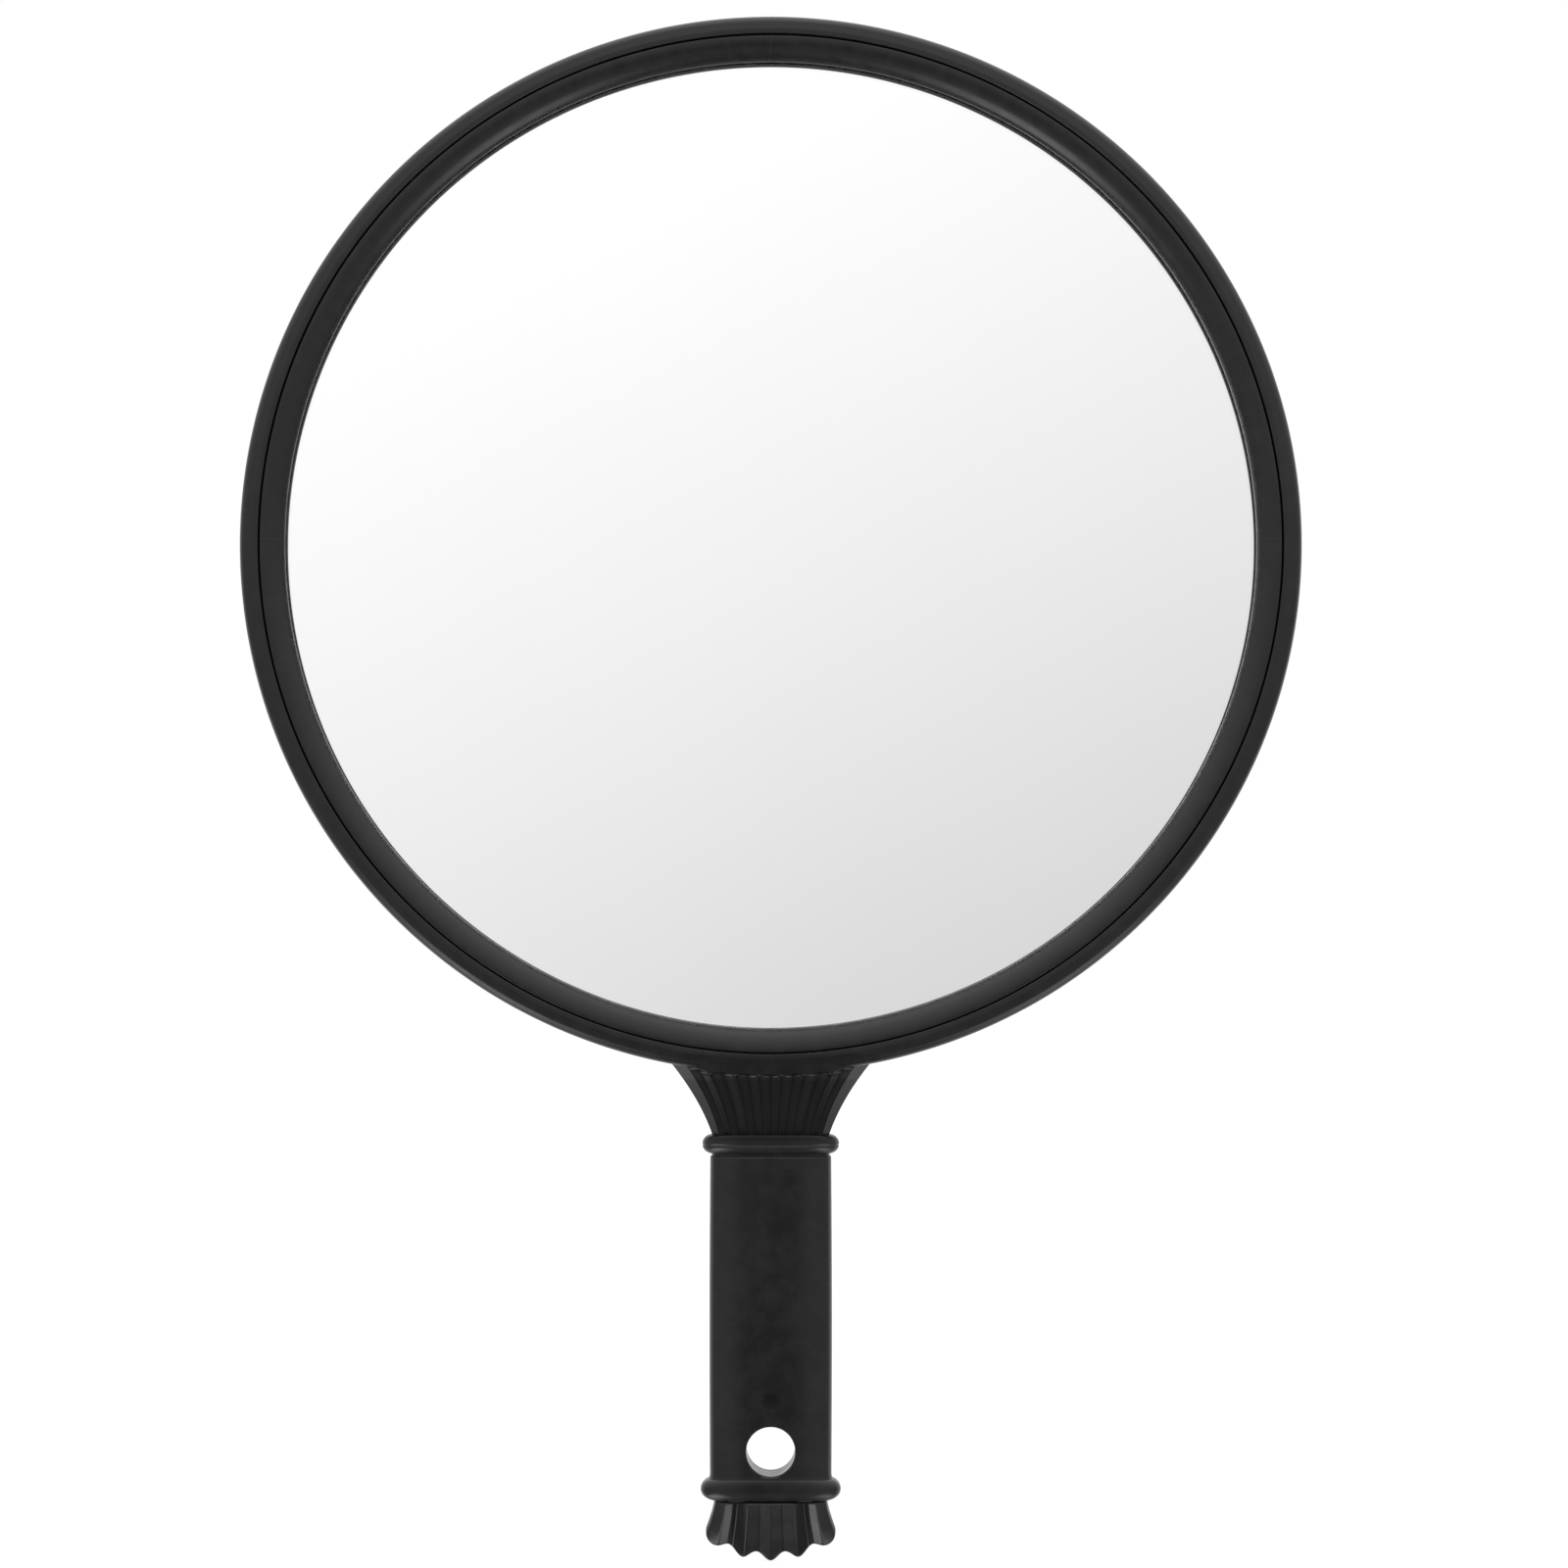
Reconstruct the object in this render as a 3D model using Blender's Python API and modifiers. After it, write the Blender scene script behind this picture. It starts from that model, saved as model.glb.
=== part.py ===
"""A round salon hand mirror: glass in a snap-in bezel, a two-part body and a hollow column-shaped handle.

The body is modelled lying on its back and then stood up by its parent empty. While it lies down,
x runs to the right, y runs from the foot of the handle to the head, and z is the height above
the flat back. The origin is the centre of the head on that flat back.
"""

import math

import bmesh
import bpy
from mathutils import Matrix

MM = 0.001
GAP = 0.3 * MM  # clearance between pieces that rest on each other

# Head
HEAD_RADIUS = 110.0 * MM
HEAD_HEIGHT = 12.2 * MM
PARTING_HEIGHT = 6.0 * MM  # middle of the gap between the front and back mouldings
SEAM_RADIUS = 105.95 * MM  # middle of the seam between band and bezel
SEAM_HEIGHT = 12.0 * MM
BAND_EDGE_HEIGHT = 10.1 * MM  # where the band's side starts to round over
SHELF_RADIUS = 103.6 * MM
SHELF_TOP = 7.3 * MM
WALL = 2.2 * MM
BACK_EDGE_RADIUS = 2.5 * MM
HALF_STEP = 0.05 * MM  # the handle's parting faces lie this much inside those of the head
RING_STEPS = 64

# Joint between the two mouldings around the head
TONGUE_RADIUS = 108.5 * MM
TONGUE_WIDTH = 0.9 * MM
TONGUE_HEIGHT = 1.2 * MM

# Glass and what lies behind it
GLASS_RADIUS = 103.0 * MM
GLASS_THICKNESS = 2.0 * MM
GLASS_BACK = 6.5 * MM
FILM_RADIUS = 102.4 * MM
FILM_THICKNESS = 0.25 * MM
LIP_RADIUS = 100.8 * MM
LIP_HEIGHT = 0.5 * MM
PAD_COUNT = 6
PAD_LENGTH = 30.0 * MM
PAD_WIDTH = 12.0 * MM
PAD_THICKNESS = 1.5 * MM
PAD_CIRCLE = 76.0 * MM

# Ribs on the floor of the rear cover
RIB_THICKNESS = 1.6 * MM
RIB_TOP = 3.9 * MM
RIB_STEPS = 40
HUB_RADIUS = 12.0 * MM
BACK_GROOVE_RADIUS = 99.0 * MM
BACK_GROOVE_WIDTH = 1.2 * MM
BACK_GROOVE_DEPTH = 0.4 * MM

# Handle, at its widest plane, which is the parting plane
FLARE_ROOT_RADIUS = 109.5 * MM  # the flare starts inside the band, on this circle
FLARE_ROOT = -108.2 * MM  # the flare's width there is the one at this level
FLARE_END = -122.4 * MM
FLARE_END_HALF_WIDTH = 12.14 * MM
FLARE_SLOPE = 0.36
FLARE_CURL = 15.8  # extra half width for each square metre of height above the flare's end
FLARE_HALF_DEPTH = 4.75 * MM
FACET_END_WIDTH = 1.45 * MM
FACET_SLOPE = 0.108
FLUTE_EDGES = (0.148, 0.44, 0.773, 1.0)  # ridges between the flutes, as shares of the fluted width
FLUTE_DEPTH = 0.4 * MM
FLUTE_STEPS = 4
FLARE_CROWN = 0.5 * MM  # how much the outermost flutes lie lower than the middle one
FLARE_STEPS = 5

GRIP_HALF_WIDTH = 12.5 * MM
GRIP_SWELL = 0.12 * MM
GRIP_HALF_DEPTH = 4.7 * MM
GRIP_SQUARENESS = 3.2
GRIP_TOP = -127.0 * MM
GRIP_END = -191.7 * MM
UPPER_BEAD = -124.6 * MM
LOWER_BEAD = -195.0 * MM
BEAD_HALF_HEIGHT = 1.95 * MM
UPPER_BEAD_PROUD = 1.95 * MM
LOWER_BEAD_PROUD = 1.9 * MM
UPPER_BEAD_PROUD_IN_DEPTH = 0.65  # as a share of how far it stands proud in width
LOWER_BEAD_PROUD_IN_DEPTH = 0.25
NECK_HALF_WIDTH = 12.2 * MM
NECK_HALF_DEPTH = 4.3 * MM

FOOT_TOP = -196.0 * MM
FOOT_NECK_HALF_WIDTH = 11.3 * MM
FOOT_HALF_WIDTH = 13.6 * MM
FOOT_NECK_HALF_DEPTH = 4.9 * MM
FOOT_END_HALF_DEPTH = 1.7 * MM
FOOT_DROP = -209.3 * MM  # lowest point, on the middle lobe
FOOT_ARC_RADIUS = 22.0 * MM  # the lobes end on this arc
FOOT_LOBES = (0.0, 0.42, 0.82)  # crests, as shares of the half width
FOOT_VALLEYS = (0.225, 0.665)
PLEAT_DEPTH = 1.3 * MM
PLEAT_NOTCH = 1.2 * MM

HOLE_CENTRE = -187.0 * MM
HOLE_RADIUS = 5.0 * MM
HOLE_TUBE_WALL = 1.8 * MM

# Hollow of the handle
CORE_TOP = -111.8 * MM
CORE_END = -192.5 * MM
CORE_HALF_WIDTH = 10.2 * MM
CORE_HALF_DEPTH = 2.7 * MM
WEB_POSITIONS = (-132.0 * MM, -162.0 * MM)
WEB_THICKNESS = 1.2 * MM

# Screws, put in from the back
SCREW_POSITIONS = (-117.0 * MM, -147.0 * MM, -176.7 * MM)
SCREW_BOSS_RADIUS = 3.6 * MM
SCREW_HEAD_RADIUS = 2.55 * MM
SCREW_HEAD_THICKNESS = 1.5 * MM
SCREW_SHANK_RADIUS = 1.25 * MM
SCREW_STEPS = 16
SCREW_TIP = 8.6 * MM
SCREW_HEAD_BACK = 1.6 * MM
COUNTERBORE_FLOOR = SCREW_HEAD_BACK + SCREW_HEAD_THICKNESS + GAP
RECESS_ARM = 1.35 * MM
RECESS_WIDTH = 0.55 * MM
RECESS_DEPTH = 0.8 * MM


# ---------------------------------------------------------------- helpers


def clear_scene():
    for item in list(bpy.data.objects):
        bpy.data.objects.remove(item, do_unlink=True)


def new_collection(name):
    made = bpy.data.collections.new(name)
    bpy.context.scene.collection.children.link(made)
    return made


def plastic(name, colour, roughness, metallic=0.0):
    made = bpy.data.materials.new(name)
    made.use_nodes = True
    shader = made.node_tree.nodes["Principled BSDF"]
    shader.inputs["Base Color"].default_value = (*colour, 1.0)
    shader.inputs["Roughness"].default_value = roughness
    shader.inputs["Metallic"].default_value = metallic
    return made


def add_object(name, bm, folder):
    """An object made from bm, with its faces turned outward."""
    bmesh.ops.recalc_face_normals(bm, faces=bm.faces)
    mesh = bpy.data.meshes.new(name)
    bm.to_mesh(mesh)
    bm.free()
    made = bpy.data.objects.new(name, mesh)
    folder.objects.link(made)
    return made


def as_helper(item):
    """Marks a cutter or a shape that is joined to another one."""
    item.hide_render = True
    item.display_type = "WIRE"
    return item


def turned(name, profile, folder, closed, steps=RING_STEPS):
    """A profile of (radius, height) points swept round its own z axis. It runs down its outer side."""
    mesh = bpy.data.meshes.new(name)
    count = len(profile)
    edges = [(i, i + 1) for i in range(count - 1)]
    if closed:
        edges.append((count - 1, 0))
    mesh.from_pydata([(radius, 0.0, height) for radius, height in profile], edges, [])
    made = bpy.data.objects.new(name, mesh)
    folder.objects.link(made)
    sweep = made.modifiers.new("sweep", "SCREW")
    sweep.axis = "Z"
    sweep.steps = steps
    sweep.render_steps = steps
    sweep.use_merge_vertices = True
    sweep.merge_threshold = 0.00001
    return made


def loft(name, rings, folder, tip=None):
    """A closed body through rings of points. Its far end closes on the point tip, if there is one."""
    bm = bmesh.new()
    loops = [[bm.verts.new(point) for point in ring] for ring in rings]
    for near, far in zip(loops, loops[1:]):
        for i in range(len(near)):
            j = (i + 1) % len(near)
            bm.faces.new((near[i], near[j], far[j], far[i]))
    bm.faces.new(loops[0])
    if tip is None:
        bm.faces.new(loops[-1])
    else:
        centre = bm.verts.new(tip)
        last = loops[-1]
        for i in range(len(last)):
            bm.faces.new((last[i], last[(i + 1) % len(last)], centre))
    return add_object(name, bm, folder)


def disc(name, radius, low, high, folder, centre=(0.0, 0.0), steps=32):
    """A cylinder standing on the height low, turned a little so that no corner is on a centre line."""
    bm = bmesh.new()
    bmesh.ops.create_cone(
        bm, cap_ends=True, segments=steps, radius1=radius, radius2=radius, depth=high - low
    )
    bmesh.ops.rotate(bm, verts=bm.verts, matrix=Matrix.Rotation(0.6 * math.pi / steps, 3, "Z"))
    bmesh.ops.translate(bm, verts=bm.verts, vec=(centre[0], centre[1], (low + high) / 2))
    return add_object(name, bm, folder)


def block(name, size, centre, folder):
    bm = bmesh.new()
    bmesh.ops.create_cube(bm, size=1.0)
    bmesh.ops.scale(bm, verts=bm.verts, vec=size)
    bmesh.ops.translate(bm, verts=bm.verts, vec=centre)
    return add_object(name, bm, folder)


def combine(item, other, operation):
    step = item.modifiers.new(f"{operation.lower()}_{other.name}"[:60], "BOOLEAN")
    step.operation = operation
    step.object = other
    step.solver = "EXACT"


def join(item, other):
    combine(item, other, "UNION")


def cut(item, other):
    combine(item, other, "DIFFERENCE")


def bake(item):
    """Replaces an object's mesh and modifiers with the mesh that they give."""
    bpy.context.view_layer.update()
    graph = bpy.context.evaluated_depsgraph_get()
    mesh = bpy.data.meshes.new_from_object(item.evaluated_get(graph))
    mesh.name = item.name
    item.modifiers.clear()
    item.data = mesh


def arc(centre, radius, start, end, steps):
    """Points on a circle, from the angle start to the angle end in degrees."""
    points = []
    for i in range(steps + 1):
        angle = math.radians(start + (end - start) * i / steps)
        points.append((centre[0] + radius * math.cos(angle), centre[1] + radius * math.sin(angle)))
    return points


def superellipse(half_width, half_depth, y, squareness, steps=36):
    """A ring in the plane at y. With squareness 2 it is an ellipse, and a higher value squares it off."""
    ring = []
    for i in range(steps):
        angle = 2 * math.pi * i / steps
        c, s = math.cos(angle), math.sin(angle)
        x = half_width * math.copysign(abs(c) ** (2 / squareness), c)
        z = half_depth * math.copysign(abs(s) ** (2 / squareness), s)
        ring.append((x, y, PARTING_HEIGHT + z))
    return ring


# ---------------------------------------------------------------- handle surfaces


def flare_half_width(y):
    rise = y - FLARE_END
    return FLARE_END_HALF_WIDTH + FLARE_SLOPE * rise + FLARE_CURL * rise * rise


def flare_ring(y, on_circle=False):
    """Both faces carry flutes between two plain facets that meet at the parting plane."""
    half_width = flare_half_width(y)
    fluted = half_width - FACET_END_WIDTH - FACET_SLOPE * (y - FLARE_END)
    edges = [-share for share in reversed(FLUTE_EDGES)] + list(FLUTE_EDGES)
    face = []
    for left, right in zip(edges, edges[1:]):
        for i in range(FLUTE_STEPS):
            share = left + (right - left) * i / FLUTE_STEPS
            sunk = FLUTE_DEPTH * math.sin(math.pi * i / FLUTE_STEPS)
            face.append((share * fluted, FLARE_HALF_DEPTH - FLARE_CROWN * share**2 - sunk))
    face.append((fluted, FLARE_HALF_DEPTH - FLARE_CROWN))
    front = [(x, depth) for x, depth in face]
    back = [(x, -depth) for x, depth in reversed(face)]
    ring = []
    for x, depth in front + [(half_width, 0.0)] + back + [(-half_width, 0.0)]:
        level = -math.sqrt(FLARE_ROOT_RADIUS**2 - x * x) if on_circle else y
        ring.append((x, level, PARTING_HEIGHT + depth))
    return ring


def make_flare(folder):
    rings = [flare_ring(FLARE_ROOT, on_circle=True)]
    top = -FLARE_ROOT_RADIUS - 0.6 * MM
    for i in range(FLARE_STEPS + 1):
        rings.append(flare_ring(top + (UPPER_BEAD - top) * i / FLARE_STEPS))
    return as_helper(loft("handle_flare", rings, folder))


def bead_stations(centre, proud, in_depth, start, end):
    """(y, proud in width, proud in depth) along a rounded bead."""
    steps = 6
    stations = []
    for i in range(steps + 1):
        angle = math.radians(start + (end - start) * i / steps)
        stand = proud * math.cos(angle)
        stations.append((centre - BEAD_HALF_HEIGHT * math.sin(angle), stand, stand * in_depth))
    return stations


def make_grip(folder):
    """The upper bead, the plain grip, and the lower bead with the cove above it."""
    stations = []
    for y, wide, deep in bead_stations(UPPER_BEAD, UPPER_BEAD_PROUD, UPPER_BEAD_PROUD_IN_DEPTH, -90, 90):
        stations.append((y, NECK_HALF_WIDTH + wide, NECK_HALF_DEPTH + deep))
    stations.append((GRIP_TOP + 0.1 * MM, NECK_HALF_WIDTH, NECK_HALF_DEPTH))
    stations.append((GRIP_TOP, GRIP_HALF_WIDTH - 0.3 * MM, GRIP_HALF_DEPTH - 0.2 * MM))
    steps = 4
    for i in range(steps + 1):
        share = i / steps
        y = GRIP_TOP - 0.5 * MM + (GRIP_END - GRIP_TOP + 0.5 * MM) * share
        stations.append((y, GRIP_HALF_WIDTH + GRIP_SWELL * math.sin(math.pi * share), GRIP_HALF_DEPTH))
    stations.append((GRIP_END - 1.0 * MM, GRIP_HALF_WIDTH + 0.5 * MM, GRIP_HALF_DEPTH + 0.1 * MM))
    for y, wide, deep in bead_stations(LOWER_BEAD, LOWER_BEAD_PROUD, LOWER_BEAD_PROUD_IN_DEPTH, -50, 90):
        stations.append((y, GRIP_HALF_WIDTH + wide, GRIP_HALF_DEPTH + deep))
    rings = [superellipse(wide, deep, y, GRIP_SQUARENESS) for y, wide, deep in stations]
    return as_helper(loft("handle_grip", rings, folder))


def pleat_face():
    """(share of the half width, 0 on a crest and 1 in a valley), across the foot from left to right."""
    right = [(FOOT_LOBES[0], 0.0)]
    for valley, lobe in zip(FOOT_VALLEYS, FOOT_LOBES[1:]):
        right.append((valley, 1.0))
        right.append((lobe, 0.0))
    points = [(-share, sunk) for share, sunk in reversed(right[1:])] + right
    finer = []
    steps = 2
    for (x0, sunk0), (x1, sunk1) in zip(points, points[1:]):
        for i in range(steps):
            part = i / steps
            finer.append((x0 + (x1 - x0) * part, sunk0 + (sunk1 - sunk0) * part))
    finer.append(points[-1])
    return finer


def foot_ring(down, inset=0.0):
    """A ring of the foot. down is 0 at the neck and 1 at the scalloped end. inset pulls it inward."""
    rounding = 1.0 - 0.06 * max(0.0, (down - 0.7) / 0.3) ** 2 - inset
    half_width = (FOOT_NECK_HALF_WIDTH + (FOOT_HALF_WIDTH - FOOT_NECK_HALF_WIDTH) * down) * rounding
    half_depth = (FOOT_NECK_HALF_DEPTH + (FOOT_END_HALF_DEPTH - FOOT_NECK_HALF_DEPTH) * down) * rounding
    pleat_depth = PLEAT_DEPTH * (1.0 - 0.55 * down)

    def level(share, sunk):
        x = share * FOOT_HALF_WIDTH
        end = FOOT_DROP + FOOT_ARC_RADIUS - math.sqrt(FOOT_ARC_RADIUS**2 - x * x) + PLEAT_NOTCH * sunk
        return FOOT_TOP + (end - FOOT_TOP) * down

    face = []
    for share, sunk in pleat_face():
        bulge = (1.0 - abs(share) ** 2.6) ** (1 / 2.6)
        depth = half_depth * bulge - pleat_depth * sunk
        face.append((share * half_width, level(share, sunk), depth))
    front = [(x, y, PARTING_HEIGHT + depth) for x, y, depth in face]
    back = [(x, y, PARTING_HEIGHT - depth) for x, y, depth in reversed(face)]
    side = level(1.0, 0.0)
    return front + [(half_width, side, PARTING_HEIGHT)] + back + [(-half_width, side, PARTING_HEIGHT)]


def make_foot(folder):
    rings = [foot_ring(down) for down in (0.0, 0.2, 0.4, 0.6, 0.8, 0.92, 1.0)]
    rings.append(foot_ring(1.0, inset=0.12))
    tip = (0.0, FOOT_DROP + 0.1 * MM, PARTING_HEIGHT)
    return as_helper(loft("handle_foot", rings, folder, tip))


def make_core(folder):
    """The hollow inside the handle, less the screw pillars, the tube of the hanging hole and two webs."""
    squareness = 4.0
    rings = [
        superellipse(flare_half_width(CORE_TOP) - 4.2 * MM, CORE_HALF_DEPTH, CORE_TOP, squareness, 32),
        superellipse(CORE_HALF_WIDTH - 0.6 * MM, CORE_HALF_DEPTH, FLARE_END, squareness, 32),
        superellipse(CORE_HALF_WIDTH, CORE_HALF_DEPTH, GRIP_TOP, squareness, 32),
        superellipse(CORE_HALF_WIDTH, CORE_HALF_DEPTH, CORE_END, squareness, 32),
    ]
    core = as_helper(loft("handle_core", rings, folder))
    for number, y in enumerate(SCREW_POSITIONS, 1):
        place = (0.0, y)
        pillar = disc(f"screw_pillar_{number}", SCREW_BOSS_RADIUS, -1 * MM, 13 * MM, folder, place, 24)
        cut(core, as_helper(pillar))
    tube_radius = HOLE_RADIUS + HOLE_TUBE_WALL
    tube = disc("hole_tube", tube_radius, -1 * MM, 13 * MM, folder, (0.0, HOLE_CENTRE), 40)
    cut(core, as_helper(tube))
    for number, y in enumerate(WEB_POSITIONS, 1):
        size = (40 * MM, WEB_THICKNESS, 20 * MM)
        web = block(f"core_web_{number}", size, (0.0, y, PARTING_HEIGHT), folder)
        cut(core, as_helper(web))
    return core


# ---------------------------------------------------------------- head sections


def band_profile():
    """The band of the front frame: crowned front, rounded outer edge, a snap groove and the inner shelf."""
    bore = SEAM_RADIUS + GAP / 2
    low = PARTING_HEIGHT + GAP / 2
    crown = HEAD_HEIGHT
    return [
        (bore, SEAM_HEIGHT - 0.25 * MM),
        (bore + 0.3 * MM, SEAM_HEIGHT),
        (bore + 1.4 * MM, crown),
        *arc((HEAD_RADIUS - 1.9 * MM, BAND_EDGE_HEIGHT), 1.9 * MM, 72, 0, 4),
        (HEAD_RADIUS, low + 0.3 * MM),
        (HEAD_RADIUS - 0.25 * MM, low),
        (TONGUE_RADIUS + TONGUE_WIDTH / 2 + GAP, low),
        (TONGUE_RADIUS + TONGUE_WIDTH / 2 + GAP, low + TONGUE_HEIGHT + GAP),
        (TONGUE_RADIUS - TONGUE_WIDTH / 2 - GAP, low + TONGUE_HEIGHT + GAP),
        (TONGUE_RADIUS - TONGUE_WIDTH / 2 - GAP, low),
        (SHELF_RADIUS, low),
        (SHELF_RADIUS, SHELF_TOP),
        (bore, SHELF_TOP),
        (bore, SHELF_TOP + 1.0 * MM),
        (bore + 0.4 * MM, SHELF_TOP + 1.7 * MM),
        (bore, SHELF_TOP + 2.4 * MM),
    ]


def bezel_profile():
    """The snap-in ring: a crowned face that rolls down to a thin lip over the glass."""
    skirt = SEAM_RADIUS - GAP / 2
    lip_under = GLASS_BACK + GLASS_THICKNESS + GAP
    lip_top = lip_under + LIP_HEIGHT
    inner = GLASS_RADIUS + 0.4 * MM
    roll_steps = 5
    roll = []
    for i in range(roll_steps + 1):
        turn = math.radians(90 * i / roll_steps)
        radius = LIP_RADIUS + (skirt - 0.5 * MM - LIP_RADIUS) * (1.0 - math.cos(turn))
        height = lip_top + (SEAM_HEIGHT - lip_top) * math.sin(turn)
        roll.append((radius, height))
    return [
        *roll,
        (skirt, SEAM_HEIGHT - 0.35 * MM),
        (skirt, SHELF_TOP + 2.4 * MM),
        (skirt + 0.35 * MM, SHELF_TOP + 1.7 * MM),
        (skirt, SHELF_TOP + 1.1 * MM),
        (skirt, SHELF_TOP + GAP),
        (inner, SHELF_TOP + GAP),
        (inner, lip_under),
        (LIP_RADIUS, lip_under),
    ]


def pan_profile():
    """The pan of the rear cover: from the axis over the floor and wall, and back along the flat outside."""
    high = PARTING_HEIGHT - GAP / 2
    outer = HEAD_RADIUS - 0.1 * MM
    inner = outer - WALL
    groove = BACK_GROOVE_RADIUS
    half_groove = BACK_GROOVE_WIDTH / 2
    return [
        (0.0, WALL),
        (inner - 1.0 * MM, WALL),
        (inner, WALL + 1.0 * MM),
        (inner, high),
        (TONGUE_RADIUS - TONGUE_WIDTH / 2, high),
        (TONGUE_RADIUS - TONGUE_WIDTH / 2, high + TONGUE_HEIGHT),
        (TONGUE_RADIUS + TONGUE_WIDTH / 2, high + TONGUE_HEIGHT),
        (TONGUE_RADIUS + TONGUE_WIDTH / 2, high),
        (outer - 0.2 * MM, high),
        (outer, high - 0.25 * MM),
        *arc((outer - BACK_EDGE_RADIUS, BACK_EDGE_RADIUS), BACK_EDGE_RADIUS, 0, -90, 4),
        (groove + half_groove, 0.0),
        (groove, BACK_GROOVE_DEPTH),
        (groove - half_groove, 0.0),
        (0.0, 0.0),
    ]


# ---------------------------------------------------------------- pieces


def make_handle(helpers):
    """The whole handle, hollow, with its hanging hole. Both mouldings are cut from it."""
    handle = as_helper(make_flare(helpers))
    handle.name = "whole_handle"
    join(handle, make_grip(helpers))
    join(handle, make_foot(helpers))
    cut(handle, make_core(helpers))
    hole = disc("hanging_hole", HOLE_RADIUS, -2 * MM, 15 * MM, helpers, (0.0, HOLE_CENTRE), 40)
    cut(handle, as_helper(hole))
    bake(handle)
    return handle


def half_of(handle, name, low, high, helpers):
    """The part of the handle between two heights."""
    half = handle.copy()
    half.data = handle.data.copy()
    half.name = name
    helpers.objects.link(half)
    centre = (0.0, -160 * MM, (low + high) / 2)
    slab = block(f"{name}_slab", (60 * MM, 120 * MM, high - low), centre, helpers)
    combine(half, as_helper(slab), "INTERSECT")
    bake(half)
    return half


def make_front_frame(folder, helpers, handle):
    frame = turned("front_frame", band_profile(), folder, closed=True)
    low = PARTING_HEIGHT + GAP / 2 + HALF_STEP
    join(frame, half_of(handle, "front_half", low, 20 * MM, helpers))
    for number, y in enumerate(SCREW_POSITIONS, 1):
        radius = SCREW_SHANK_RADIUS + GAP
        pilot = disc(f"pilot_{number}", radius, 0.0, SCREW_TIP + GAP, helpers, (0.0, y), SCREW_STEPS)
        cut(frame, as_helper(pilot))
    bake(frame)
    return frame


def make_rear_cover(folder, helpers, handle):
    cover = turned("rear_cover", pan_profile(), folder, closed=False)
    high = PARTING_HEIGHT - GAP / 2 - HALF_STEP
    join(cover, half_of(handle, "back_half", -5 * MM, high, helpers))
    join(cover, make_ribs(helpers))
    bake(cover)
    way = SCREW_SHANK_RADIUS + GAP
    seat = SCREW_HEAD_RADIUS + GAP
    bore = [
        (0.0, 9 * MM),
        (way, 9 * MM),
        (way, COUNTERBORE_FLOOR),
        (seat, COUNTERBORE_FLOOR),
        (seat, -1 * MM),
        (0.0, -1 * MM),
    ]
    for number, y in enumerate(SCREW_POSITIONS, 1):
        drill = as_helper(turned(f"screw_bore_{number}", bore, helpers, closed=False, steps=SCREW_STEPS))
        drill.location = (0.0, y, 0.0)
        drill.rotation_euler = (0.0, 0.0, 0.13)
        cut(cover, drill)
    bake(cover)
    return cover


def make_ribs(helpers):
    """A hub, a ring under the foam pads and spokes between them, all standing on the floor of the pan."""
    low = WALL - 0.5 * MM
    ring = turned(
        "rib_ring",
        [
            (PAD_CIRCLE + RIB_THICKNESS / 2, RIB_TOP),
            (PAD_CIRCLE + RIB_THICKNESS / 2, low),
            (PAD_CIRCLE - RIB_THICKNESS / 2, low),
            (PAD_CIRCLE - RIB_THICKNESS / 2, RIB_TOP),
        ],
        helpers,
        closed=True,
        steps=RIB_STEPS,
    )
    ring.rotation_euler = (0.0, 0.0, math.pi / RIB_STEPS)
    hub = disc("rib_hub", HUB_RADIUS, low, RIB_TOP, helpers, steps=24)
    web = as_helper(ring)
    join(web, as_helper(hub))
    length = PAD_CIRCLE - HUB_RADIUS + 2 * MM
    for number in range(PAD_COUNT):
        angle = 2 * math.pi * (number + 0.5) / PAD_COUNT
        spoke = block(
            f"rib_spoke_{number + 1}",
            (length, RIB_THICKNESS, RIB_TOP - 0.2 * MM - low),
            (0.0, 0.0, (RIB_TOP - 0.2 * MM + low) / 2),
            helpers,
        )
        middle = (PAD_CIRCLE + HUB_RADIUS) / 2 - 1 * MM
        spoke.location = (middle * math.cos(angle), middle * math.sin(angle), 0.0)
        spoke.rotation_euler = (0.0, 0.0, angle)
        join(web, as_helper(spoke))
    return web


def make_glass(folder):
    glass = disc(
        "mirror_glass", GLASS_RADIUS, GLASS_BACK, GLASS_BACK + GLASS_THICKNESS, folder, steps=RING_STEPS
    )
    edge = glass.modifiers.new("ground_edge", "BEVEL")
    edge.width = 0.25 * MM
    edge.segments = 1
    edge.limit_method = "ANGLE"
    film_top = GLASS_BACK - GAP
    film = disc("safety_film", FILM_RADIUS, film_top - FILM_THICKNESS, film_top, folder, steps=RING_STEPS)
    return glass, film


def make_pads(folder):
    pads = []
    low = RIB_TOP + GAP
    for number in range(PAD_COUNT):
        angle = 2 * math.pi * number / PAD_COUNT + math.pi / 2
        size = (PAD_LENGTH, PAD_WIDTH, PAD_THICKNESS)
        pad = block(f"foam_pad_{number + 1}", size, (0.0, 0.0, 0.0), folder)
        middle = low + PAD_THICKNESS / 2
        pad.location = (PAD_CIRCLE * math.cos(angle), PAD_CIRCLE * math.sin(angle), middle)
        pad.rotation_euler = (0.0, 0.0, angle + math.pi / 2)
        corner = pad.modifiers.new("soft_corners", "BEVEL")
        corner.width = 0.3 * MM
        corner.segments = 1
        pads.append(pad)
    return pads


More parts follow.
